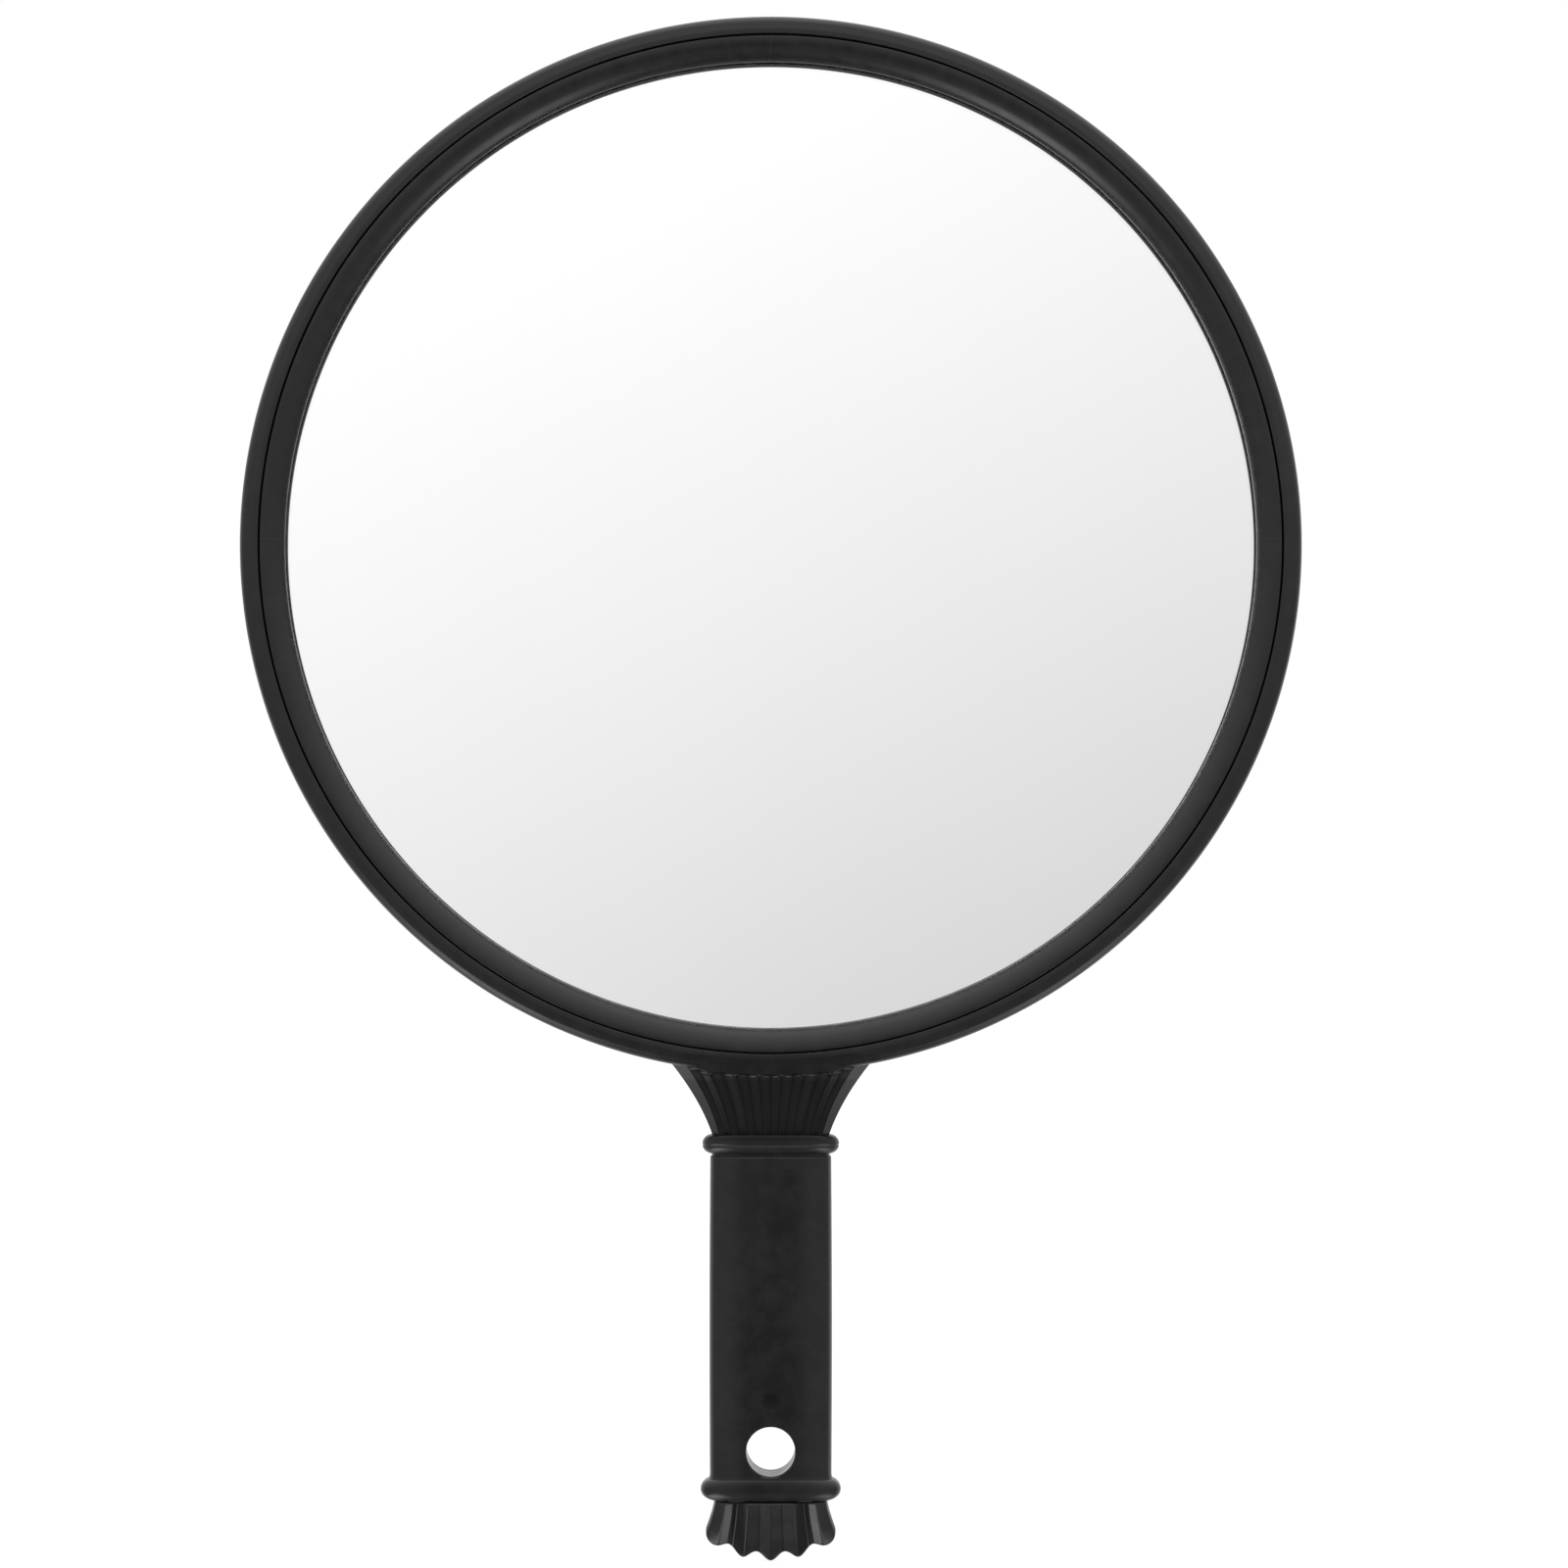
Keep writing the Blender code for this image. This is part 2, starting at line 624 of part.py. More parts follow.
def make_screws(folder, helpers):
    """Pan-head screws: a domed head with a cross recess, a plain shank for the thread and a blunt tip."""
    back = SCREW_HEAD_BACK
    seat = back + SCREW_HEAD_THICKNESS
    shank = SCREW_SHANK_RADIUS
    profile = [
        (0.0, SCREW_TIP),
        (shank * 0.4, SCREW_TIP),
        (shank, SCREW_TIP - 1.0 * MM),
        (shank, seat),
        (SCREW_HEAD_RADIUS, seat),
        (SCREW_HEAD_RADIUS, back + 0.7 * MM),
        (SCREW_HEAD_RADIUS * 0.8, back + 0.15 * MM),
        (SCREW_HEAD_RADIUS * 0.5, back),
        (0.0, back),
    ]
    screws = []
    for number, y in enumerate(SCREW_POSITIONS, 1):
        screw = turned(f"handle_screw_{number}", profile, folder, closed=False)
        screw.modifiers["sweep"].steps = SCREW_STEPS
        screw.modifiers["sweep"].render_steps = SCREW_STEPS
        screw.location = (0.0, y, 0.0)
        for name, size in (
            ("along", (2 * RECESS_ARM, RECESS_WIDTH, 2 * RECESS_DEPTH)),
            ("across", (RECESS_WIDTH, 2 * RECESS_ARM, 2 * RECESS_DEPTH)),
        ):
            slot = block(f"recess_{name}_{number}", size, (0.0, y, back), helpers)
            cut(screw, as_helper(slot))
        screws.append(screw)
    return screws


def paint(items, material):
    for item in items:
        item.data.materials.clear()
        item.data.materials.append(material)


def smooth_round_surfaces(items):
    for item in items:
        item.data.shade_smooth()
        item.data.set_sharp_from_angle(angle=math.radians(35))


def build():
    clear_scene()
    parts = new_collection("hand_mirror")
    helpers = new_collection("cutters")

    handle = make_handle(helpers)
    frame = make_front_frame(parts, helpers, handle)
    cover = make_rear_cover(parts, helpers, handle)
    bezel = turned("bezel_ring", bezel_profile(), parts, closed=True)
    glass, film = make_glass(parts)
    pads = make_pads(parts)
    screws = make_screws(parts, helpers)

    paint([frame, cover, bezel], plastic("black_plastic", (0.018, 0.018, 0.019), 0.42))
    paint([glass], plastic("mirror", (0.93, 0.94, 0.94), 0.03, 1.0))
    paint([film], plastic("vinyl_film", (0.32, 0.34, 0.36), 0.5))
    paint(pads, plastic("foam", (0.05, 0.05, 0.055), 0.95))
    paint(screws, plastic("zinc_steel", (0.62, 0.62, 0.6), 0.35, 1.0))
    smooth_round_surfaces([frame, cover, bezel, glass, film, *screws])

    stand = bpy.data.objects.new("hand_mirror_origin", None)
    bpy.context.scene.collection.objects.link(stand)
    stand.rotation_euler = (math.radians(90), 0.0, 0.0)
    for item in list(parts.objects) + list(helpers.objects):
        item.parent = stand


build()
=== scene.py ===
"""Looks of a round salon hand mirror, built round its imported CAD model.

Every shape is worked out in millimetres as (x, v, h): x to the right, v up along the mirror, and h forward
from the flat back. In the row's frame that point is (x, -h, v). The handle's halves give their depth from the
parting plane instead, forward for the front moulding and backward for the back one.
"""

import math

import bpy
import numpy as np
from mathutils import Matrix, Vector


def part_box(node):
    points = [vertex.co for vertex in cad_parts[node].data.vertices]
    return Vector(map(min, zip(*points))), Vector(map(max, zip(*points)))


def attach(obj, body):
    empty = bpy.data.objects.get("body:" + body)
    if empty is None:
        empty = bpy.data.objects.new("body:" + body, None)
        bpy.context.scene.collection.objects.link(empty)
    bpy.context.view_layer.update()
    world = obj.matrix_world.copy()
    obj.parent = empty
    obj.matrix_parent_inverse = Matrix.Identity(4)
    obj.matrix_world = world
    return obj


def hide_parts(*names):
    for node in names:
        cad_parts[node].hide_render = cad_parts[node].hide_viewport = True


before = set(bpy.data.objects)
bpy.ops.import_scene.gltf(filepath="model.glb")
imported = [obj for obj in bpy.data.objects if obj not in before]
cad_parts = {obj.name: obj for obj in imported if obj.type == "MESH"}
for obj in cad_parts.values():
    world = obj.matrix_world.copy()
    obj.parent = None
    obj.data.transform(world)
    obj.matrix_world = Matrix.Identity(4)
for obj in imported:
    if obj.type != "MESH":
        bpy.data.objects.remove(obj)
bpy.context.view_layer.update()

MM = 0.001

# Head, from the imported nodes
HEAD_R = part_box("front_frame")[1].x / MM
CROWN = -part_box("front_frame")[0].y / MM
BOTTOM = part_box("front_frame")[0].z / MM
GLASS_FRONT = -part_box("mirror_glass")[0].y / MM
GLASS_BACK = -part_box("mirror_glass")[1].y / MM
GLASS_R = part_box("mirror_glass")[1].z / MM

# Head, inside those limits
PARTING = 6.0  # height of the plane where the two mouldings meet
SEAM_R = 105.85  # middle of the gap between band and bezel
SEAM_HALF_GAP = 0.19
SEAM_H = 12.0  # crown of the bezel
BAND_SHELF_R = 103.6  # how far in the band goes under the bezel
BAND_SHELF_H = 7.3
BEZEL_UNDER = 7.6  # underside of the bezel, over the shelf
LIP_R = 100.8  # the bezel's opening
LIP_UNDER = GLASS_FRONT + 0.02
LIP_TOP = 9.25
ROUND_STEPS = 384
BEZEL_STEPS = 512

# Handle, from the head down
FLARE_END = -122.4
FLARE_HIDDEN_END = -123.6  # inside the upper bead
GRIP_TOP = -127.0
GRIP_END = -191.7
FOOT_TOP = -196.4
FOOT_SHOULDER = -197.3  # the pleats start here, under a groove below the bead
FOOT_SIDE_END = -203.9
SCREW_VS = (-117.0, -147.0, -176.7)
MARK_V = SCREW_VS[2]  # the sink mark lies over the lowest screw
HOLE_V = -187.0
HOLE_R = 5.0
GRIP_HALF_WIDTH = 12.5
GRIP_HALF_DEPTH = 4.7
SQUARENESS = 3.2  # exponent of the squared-off cross-sections
SECTION_POINTS = 121

# The flare's land above the arches and the depth of its flutes, on the front and on the back moulding
FRONT_FLARE = {"land_depth": 6.12, "deep": 0.46}
BACK_FLARE = {"land_depth": 5.9, "deep": 0.36}

# Beads: how far they stand proud of a core with this half width, and their depths at the upper end, in the
# middle and at the lower end
UPPER_BEAD = {
    "centre": -124.6,
    "half_height": 1.95,
    "core_width": 12.15,
    "proud": 2.0,
    "depths": (5.3, 5.5, 4.3),
    "crease": 0.13,
    "neck": 0.9,
}
LOWER_BEAD = {
    "centre": -195.0,
    "half_height": 2.25,
    "core_width": 11.6,
    "proud": 2.8,
    "depths": (4.88, 5.1, 4.2),
    "crease": 0.0,
    "neck": 0.0,
}


# ---------------------------------------------------------------- materials


class Shader:
    """A small helper for building one material's or world's node tree."""

    def __init__(self, owner):
        owner.use_nodes = True
        self.tree = owner.node_tree
        self.nodes = self.tree.nodes
        self.nodes.clear()

    def node(self, kind, settings=None, **inputs):
        """A node with its own settings and its inputs, whose names have _ in place of a space."""
        made = self.nodes.new(kind)
        for key, value in (settings or {}).items():
            setattr(made, key, value)
        for key, value in inputs.items():
            self.feed(made, key.replace("_", " "), value)
        return made

    def feed(self, node, socket, value):
        """Links a socket or a node's first output to the input, or sets the input to a value."""
        target = node.inputs[socket]
        if isinstance(value, bpy.types.NodeSocket):
            self.tree.links.new(value, target)
        elif isinstance(value, bpy.types.Node):
            self.tree.links.new(value.outputs[0], target)
        else:
            target.default_value = value

    def point(self):
        return self.node("ShaderNodeTexCoord").outputs["Object"]

    def math(self, operation, a, b=0.0):
        made = self.node("ShaderNodeMath", {"operation": operation})
        self.feed(made, 0, a)
        self.feed(made, 1, b)
        return made.outputs[0]

    def product(self, first, *others):
        for other in others:
            first = self.math("MULTIPLY", first, other)
        return first

    def total(self, first, *others):
        for other in others:
            first = self.math("ADD", first, other)
        return first

    def measure(self, operation, a, b):
        """The number that an operation on two vectors gives."""
        made = self.node("ShaderNodeVectorMath", {"operation": operation})
        self.feed(made, 0, a)
        self.feed(made, 1, b)
        return made.outputs["Value"]

    def ramp(self, value, low, high, to_low=0.0, to_high=1.0):
        """Goes smoothly from to_low to to_high while value goes from low to high."""
        made = self.node(
            "ShaderNodeMapRange",
            {"interpolation_type": "SMOOTHSTEP", "clamp": True},
            Value=value,
            From_Min=low,
            From_Max=high,
            To_Min=to_low,
            To_Max=to_high,
        )
        return made.outputs[0]

    def noise(self, vector, scale, detail=3.0, rough=0.5):
        made = self.node("ShaderNodeTexNoise", Vector=vector, Scale=scale, Detail=detail, Roughness=rough)
        return made.outputs[0]

    def scaled(self, vector, scale):
        return self.node("ShaderNodeMapping", Vector=vector, Scale=scale).outputs[0]

    def bump(self, height, strength, distance, normal=None):
        made = self.node("ShaderNodeBump", Height=height, Strength=strength, Distance=distance)
        if normal is not None:
            self.feed(made, "Normal", normal)
        return made.outputs[0]

    def mix(self, kind, sockets, share, a, b):
        """A Mix node has a pair of inputs and an output for each kind of data. sockets are their places."""
        first, second, out = sockets
        made = self.node("ShaderNodeMix", {"data_type": kind})
        for socket, value in ((0, share), (first, a), (second, b)):
            self.feed(made, socket, value)
        return made.outputs[out]

    def mix_colour(self, share, a, b):
        return self.mix("RGBA", (6, 7, 2), share, a, b)

    def mix_value(self, share, a, b):
        return self.mix("FLOAT", (2, 3, 0), share, a, b)

    def output(self, shader, kind="ShaderNodeOutputMaterial"):
        self.feed(self.nodes.new(kind), "Surface", shader)


def grey(level):
    return (level, level, level, 1.0)


# Where the painted shade on the black plastic fades in or out, as levels or as distances from the middle
THROAT_LOWER_END = (-124.6, -123.2)
THROAT_ARCHES = (-111.8, -110.6)
THROAT_UPPER_END = (-106.4, -105.6)
THROAT_SIDE = (15.0, 27.0)
PLEAT_INNER_EDGE = (5.0, 5.7)
PLEAT_OUTER_EDGE = (7.6, 8.2)
PLEAT_UPPER_END = (-197.9, -197.1)
# painted shade: the darker tone given to the flare's throat and the foot's deepest pleats
PAINTED_SHADE_TONE = (0.0065, 0.0065, 0.0067, 1.0)
MARK_TONE = (0.0075, 0.0075, 0.0077, 1.0)


def painted_shade_stretches(s, aside, level):
    """How much painted shade the plastic gets: in the flare's throat up into the ring, and the deepest pleat
    each side of the foot.
    """

    def fade(value, limits, to_low, to_high):
        return s.ramp(value, limits[0] * MM, limits[1] * MM, to_low, to_high)

    throat = s.product(
        fade(level, THROAT_LOWER_END, 0.0, 1.0),
        fade(level, THROAT_ARCHES, 1.0, 0.45),
        fade(level, THROAT_UPPER_END, 1.0, 0.0),
        fade(aside, THROAT_SIDE, 1.0, 0.0),
    )
    pleats = s.product(
        fade(aside, PLEAT_INNER_EDGE, 0.0, 1.0),
        fade(aside, PLEAT_OUTER_EDGE, 1.0, 0.0),
        fade(level, PLEAT_UPPER_END, 0.9, 0.0),
    )
    return s.math("MAXIMUM", throat, pleats)


def sink_mark(s, point):
    """1 in a slightly ragged disc over the lowest screw, and 0 outside it."""
    from_mark = s.measure("DISTANCE", s.scaled(point, (1.0, 0.0, 1.0)), (0.0, 0.0, MARK_V * MM))
    wobble = s.product(s.math("SUBTRACT", s.noise(point, 900.0, 2.0), 0.5), 0.7 * MM)
    return s.ramp(s.total(from_mark, wobble), 1.7 * MM, 2.3 * MM, 1.0, 0.0)


def black_plastic(name, knit_lines=False, grip_wear=False):
    """Moulded black plastic: fine texture of the mould, slow ripples from cooling, and scuffs.

    It gets painted shade, a darker, less shiny tone, in the flare's throat and the foot's deepest pleats.
    knit_lines adds four faint lines where the melt met in a ring, and grip_wear a hand's polish and a matt
    sink mark."""
    made = bpy.data.materials.new(name)
    s = Shader(made)
    point = s.point()
    axes = s.node("ShaderNodeSeparateXYZ", Vector=point).outputs
    aside = s.math("ABSOLUTE", axes["X"])
    cloud = s.noise(point, 260.0, 4.0, 0.6)
    scuffs = s.ramp(s.noise(s.scaled(point, (1.0, 1.0, 0.12)), 900.0, 3.0, 0.7), 0.62, 0.78)
    rough = s.total(s.ramp(cloud, 0.3, 0.75, 0.26, 0.34), s.product(scuffs, 0.06))
    normal = s.bump(s.noise(point, 70.0, 2.0, 0.4), 0.25, 0.4 * MM)
    normal = s.bump(s.noise(point, 5200.0, 2.0, 0.6), 0.10, 0.02 * MM, normal)
    dark, light = (0.0105, 0.0106, 0.0109, 1.0), (0.0135, 0.0135, 0.0137, 1.0)
    # painted shade in the flare's throat and the deepest pleats: a darker tone with less shine
    painted_shade = painted_shade_stretches(s, aside, axes["Z"])
    tone = s.mix_colour(painted_shade, s.mix_colour(s.ramp(cloud, 0.35, 0.7), dark, light), PAINTED_SHADE_TONE)
    shine = s.math("SUBTRACT", 0.5, s.product(painted_shade, 0.25))
    if knit_lines:
        line = s.ramp(s.math("MINIMUM", aside, s.math("ABSOLUTE", axes["Z"])), 0.0, 0.28 * MM, 1.0, 0.0)
        normal = s.bump(line, 0.35, 0.05 * MM, normal)
        rough = s.total(rough, s.product(line, 0.05))
    if grip_wear:
        rough = s.math("SUBTRACT", rough, s.ramp(s.noise(point, 40.0, 2.0), 0.35, 0.7, 0.0, 0.05))
        mark = sink_mark(s, point)
        tone = s.mix_colour(mark, tone, MARK_TONE)
        shine = s.math("SUBTRACT", shine, s.product(mark, 0.16))
    shader = s.node("ShaderNodeBsdfPrincipled", Base_Color=tone, Roughness=rough, Normal=normal)
    s.feed(shader, "Specular IOR Level", shine)
    s.output(shader)
    return made


def clear_glass(name):
    """Polished float glass with a trace of tint."""
    made = bpy.data.materials.new(name)
    s = Shader(made)
    tint = (0.984, 0.9845, 0.9845, 1.0)
    shader = s.node("ShaderNodeBsdfPrincipled", Base_Color=tint, Roughness=0.0, IOR=1.52)
    s.feed(shader, "Transmission Weight", 1.0)
    s.output(shader)
    return made


def ground_edge_and_painted_shade(name, dark, light):
    """A matt rim: the cut edge of the glass, and painted shade on the part of its face that the bezel covers.
    """
    made = bpy.data.materials.new(name)
    s = Shader(made)
    tone = s.mix_colour(s.noise(s.point(), 1500.0), dark, light)
    shader = s.node("ShaderNodeBsdfPrincipled", Base_Color=tone, Roughness=0.8)
    s.feed(shader, "Specular IOR Level", 0.1)
    s.output(shader)
    return made


def silvering(name):
    """The silvered back of the glass, with a hardly visible cloud in its tone."""
    made = bpy.data.materials.new(name)
    s = Shader(made)
    cloud = s.ramp(s.noise(s.point(), 14.0, 2.0), 0.3, 0.7)
    tone = s.mix_colour(cloud, (0.965, 0.966, 0.966, 1.0), (0.972, 0.973, 0.973, 1.0))
    s.output(s.node("ShaderNodeBsdfPrincipled", Base_Color=tone, Metallic=1.0, Roughness=0.0))
    return made


def vinyl(name):
    """Grey film with a fine weave and a slightly uneven face."""
    made = bpy.data.materials.new(name)
    s = Shader(made)
    point = s.point()
    weave = s.ramp(s.noise(point, 1800.0, 2.0), 0.3, 0.7)
    tone = s.mix_colour(weave, (0.27, 0.29, 0.31, 1.0), (0.36, 0.38, 0.4, 1.0))
    normal = s.bump(s.noise(point, 220.0), 0.3, 0.1 * MM)
    s.output(s.node("ShaderNodeBsdfPrincipled", Base_Color=tone, Roughness=0.5, Normal=normal))
    return made


def foam(name):
    """Dark open-cell foam."""
    made = bpy.data.materials.new(name)
    s = Shader(made)
    cells = s.node("ShaderNodeTexVoronoi", Vector=s.point(), Scale=1900.0).outputs["Distance"]
    tone = s.mix_colour(s.ramp(cells, 0.1, 0.6), (0.075, 0.075, 0.08, 1.0), (0.03, 0.03, 0.034, 1.0))
    normal = s.bump(cells, 0.8, 0.3 * MM)
    s.output(s.node("ShaderNodeBsdfPrincipled", Base_Color=tone, Roughness=0.95, Normal=normal))
    return made


def zinc(name):
    """Zinc-plated steel with a fine, uneven grain."""
    made = bpy.data.materials.new(name)
    s = Shader(made)
    grain = s.noise(s.point(), 2600.0, 3.0, 0.6)
    tone = s.mix_colour(s.ramp(grain, 0.3, 0.75), (0.56, 0.57, 0.58, 1.0), (0.72, 0.72, 0.71, 1.0))
    shader = s.node("ShaderNodeBsdfPrincipled", Base_Color=tone, Metallic=1.0)
    s.feed(shader, "Roughness", s.ramp(grain, 0.3, 0.7, 0.26, 0.42))
    s.feed(shader, "Normal", s.bump(grain, 0.2, 0.03 * MM))
    s.output(shader)
    return made


# ---------------------------------------------------------------- mesh helpers


def to_row(x, v, h):
    return (x * MM, -h * MM, v * MM)


def mesh_piece(name, verts, faces, material, sharp=35.0):
    """An object of verts in (x, v, h) and faces that are turned outward as given. sharp is in degrees."""
    mesh = bpy.data.meshes.new(name)
    mesh.from_pydata([to_row(*p) for p in verts], [], faces)
    mesh.validate()
    made = bpy.data.objects.new(name, mesh)
    bpy.context.scene.collection.objects.link(made)
    mesh.materials.append(material)
    mesh.shade_smooth()
    mesh.set_sharp_from_angle(angle=math.radians(sharp))
    step = made.modifiers.new("weighted", "WEIGHTED_NORMAL")
    step.keep_sharp = True
    return made


def rounded(points, steps=5):
    """A profile of (r, h, corner radius) with each corner turned into an arc. Open at both ends."""
    out = []
    count = len(points)
    for i, (r, h, radius) in enumerate(points):
        here = np.array((r, h), float)
        if radius <= 0.0 or i in (0, count - 1):
            out.append((r, h))
            continue
        before = np.array(points[i - 1][:2], float) - here
        after = np.array(points[i + 1][:2], float) - here
        before /= np.linalg.norm(before)
        after /= np.linalg.norm(after)
        half = math.acos(max(-1.0, min(1.0, float(before @ after)))) / 2
        back = radius / math.tan(half)
        centre = here + (before + after) / np.linalg.norm(before + after) * radius / math.sin(half)
        start = here + before * back - centre
        end = here + after * back - centre
        first = math.atan2(start[1], start[0])
        turn = math.atan2(start[0] * end[1] - start[1] * end[0], float(start @ end))
        for k in range(steps + 1):
            a = first + turn * k / steps
            out.append((centre[0] + radius * math.cos(a), centre[1] + radius * math.sin(a)))
    return out


def lathe(name, profile, material, steps=ROUND_STEPS, closed=True, centre=(0.0, 0.0), sharp=35.0):
    """A profile of (r, h) turned round an axis along h. It runs outward on the back, inward on the front."""
    verts, faces, rows = [], [], []
    for r, h in profile:
        if r == 0.0:
            rows.append([len(verts)])
            verts.append((centre[0], centre[1], h))
            continue
        rows.append(list(range(len(verts), len(verts) + steps)))
        for k in range(steps):
            a = 2 * math.pi * k / steps
            verts.append((centre[0] + r * math.cos(a), centre[1] + r * math.sin(a), h))
    pairs = list(zip(rows, rows[1:]))
    if closed:
        pairs.append((rows[-1], rows[0]))
    for near, far in pairs:
        for k in range(steps):
            j = (k + 1) % steps
            if len(near) == 1:
                faces.append((near[0], far[j], far[k]))
            elif len(far) == 1:
                faces.append((near[k], near[j], far[0]))
            else:
                faces.append((near[k], near[j], far[j], far[k]))
    return mesh_piece(name, verts, faces, material, sharp)


PLAY = 0.03  # from each inner face to the parting plane
TONGUE_INSET = 1.1  # from the handle's sides
TONGUE_TAPER = 0.1
TONGUE_DEEP = 0.75
GROOVE_DEEP = 0.77
GROOVE_SLACK = 0.15


def end_caps(loop, width, tongue):
    """The faces that close one end: the whole loop, or a strip from its outer to its inner side."""
    if tongue:
        return [loop]

    def inner(k):
        return loop[len(loop) - k] if 0 < k < width - 1 else loop[k]

    caps = []
    for k in range(width - 1):
        corners = (loop[k], loop[k + 1], inner(k + 1), inner(k))
        caps.append(tuple(dict.fromkeys(corners)))
    return caps


def half_body(name, rows, side, material, sharp=35.0, tongue=True):
    """A closed half of the handle. side is 1 for the front moulding and -1 for the back one.

    Each row is (x, v, depth) arrays that run from the left edge to the right edge at the parting plane. With
    a tongue the inner face steps over in one long strip, and without one it is flat and follows the rows."""
    level = PARTING + PLAY * side
    lip = PARTING - (TONGUE_DEEP if side > 0 else GROOVE_DEEP)
    slack = 0.0 if side > 0 else GROOVE_SLACK
    verts, faces, loops = [], [], []
    width = len(rows[0][0])
    for x, v, depth in rows:
        ring = [(x[k], v[k], PARTING + side * max(depth[k], PLAY)) for k in range(width)]
        if tongue:
            right, left = x[-1] - TONGUE_INSET + slack, x[0] + TONGUE_INSET - slack
            ring += [
                (right, v[-1], level),
                (right - TONGUE_TAPER, v[-1], lip),
                (left + TONGUE_TAPER, v[0], lip),
                (left, v[0], level),
            ]
        else:
            ring += [(x[k], v[k], level) for k in range(width - 2, 0, -1)]
        loops.append(tuple(range(len(verts), len(verts) + len(ring))))
        verts += ring
    size = len(loops[0])
    for near, far in zip(loops, loops[1:]):
        for k in range(size):
            j = (k + 1) % size
            faces.append((near[k], far[k], far[j], near[j]))
    first, last = end_caps(loops[0], width, tongue), end_caps(loops[-1], width, tongue)
    faces += first + [cap[::-1] for cap in last]
    if side < 0:
        faces = [face[::-1] for face in faces]
    return mesh_piece(name, verts, faces, material, sharp)


def apply_modifiers(piece):
    bpy.context.view_layer.update()
    graph = bpy.context.evaluated_depsgraph_get()
    mesh = bpy.data.meshes.new_from_object(piece.evaluated_get(graph))
    piece.modifiers.clear()
    piece.data = mesh


def cut_with(piece, cutter):
    """Cuts the cutter out of piece for good, and removes the cutter."""
    step = piece.modifiers.new("cut", "BOOLEAN")
    step.operation = "DIFFERENCE"
    step.solver = "EXACT"
    step.object = cutter
    apply_modifiers(piece)
    bpy.data.objects.remove(cutter, do_unlink=True)


def share(value, low, high):
    """0 up to low, 1 from high on, and evenly in between."""
    return np.clip((np.asarray(value, float) - low) / (high - low), 0.0, 1.0)


def smoothstep(value, low, high):
    t = share(value, low, high)
    return t * t * (3.0 - 2.0 * t)


def quarter_round(t):
    """Rises from 0 to 1 along a quarter of a circle, steeply at first."""
    return np.sqrt(t * (2.0 - t))


def superellipse(half_width, half_depth):
    """x and depth of the upper half of a squared-off ellipse, from the left edge to the right edge."""
    a = np.linspace(math.pi, 0.0, SECTION_POINTS)
    c, s = np.cos(a), np.sin(a)
    x = half_width * np.sign(c) * np.abs(c) ** (2 / SQUARENESS)
    return x, half_depth * np.abs(s) ** (2 / SQUARENESS)


def level_row(v, half_width, half_depth):
    x, depth = superellipse(half_width, half_depth)
    return x, np.full(len(x), v), depth


# ---------------------------------------------------------------- flare

FLARE_HALF_WIDTH = 12.14  # at FLARE_END
FLARE_SPREAD = 0.36  # wider by this for each millimetre up
FLARE_CURVE = 0.0158
FLUTE_EDGES = (0.148, 0.44, 0.773, 1.0)  # shares of the fluted half width
FLUTE_CIRCLE = 110.35  # the arches that end the flutes touch this circle
FLUTE_CUSP = -110.8  # level of the cusps between the arches
OUTER_CUSP_FROM = 14.0  # past this distance from the middle, a cusp hardly drops
OUTER_CUSP_DROP = 0.2
FLUTE_NOSE = 0.5  # length over which a flute comes up under its arch
FLUTED_AT_ARCHES = 16.4  # half width
FLUTED_DEPTHS = (4.15, 1.1)  # at the lower end, and how much more at FLUTED_RISE above it
FLUTED_RISE = 13.0
FLUTED_CROWN = 0.45  # the fluted face falls off by this towards its sides
LAND_ROUND = 0.45
LAND_STEP = 0.35  # share of the land's height that is a sharp step
LAND_FALL = 0.5  # the land falls off by this towards its sides
LAND_FALL_SPAN = (10.0, 16.0)  # between these distances from the middle
LAND_END_SPAN = (0.88, 1.0)  # and it ends between these shares of the fluted half width
FACET_WIDTH = 1.45  # at FLARE_END
FACET_SPREAD = 0.108
FACET_SLOPE = 1.28  # depth lost across a side facet for each millimetre of its width
FACET_SHARES = (0.03, 0.08, 0.3, 0.6, 0.9, 0.97, 0.99, 1.0, 1.0)
FACET_EDGE = (0.012, 0.12)  # how far the facet's outer edge turns over, across and down


def cusp_drop(x):
    """How far a cusp at x hangs below the circle that the arches touch."""
    if abs(x) > OUTER_CUSP_FROM:
        return OUTER_CUSP_DROP
    return -math.sqrt(FLUTE_CIRCLE**2 - x * x) - FLUTE_CUSP


def flute(left, right, v, fluted, base, land_depth, deep):
    """x and depth of one flute, its arch and the land above it. left and right are shares of fluted."""
    t = np.linspace(0.0, 1.0, 25)[:-1]
    place = left + (right - left) * t
    x = place * fluted
    across = 2.0 * t - 1.0
    drop = cusp_drop(left * FLUTED_AT_ARCHES) * (1.0 - t) + cusp_drop(right * FLUTED_AT_ARCHES) * t
    round_end = 1.0 - np.sqrt(np.clip(1.0 - across**2, 0.0, 1.0))
    arch = -np.sqrt(FLUTE_CIRCLE**2 - x**2) - drop * round_end
    below = np.clip((arch - v) / FLUTE_NOSE, 0.0, 1.0)
    hollow = deep * (0.5 + 0.5 * np.cos(math.pi * across)) * quarter_round(below)
    floor = base - FLUTED_CROWN * place**2 - hollow
    above = np.clip((v - arch) / LAND_ROUND, 0.0, 1.0)
    step = np.where(v > arch, LAND_STEP + (1.0 - LAND_STEP) * quarter_round(above), 0.0)
    land = land_depth - LAND_FALL * smoothstep(np.abs(x), *LAND_FALL_SPAN)
    taper = 1.0 - smoothstep(np.abs(place), *LAND_END_SPAN)
    return x, floor + (land - floor) * step * taper


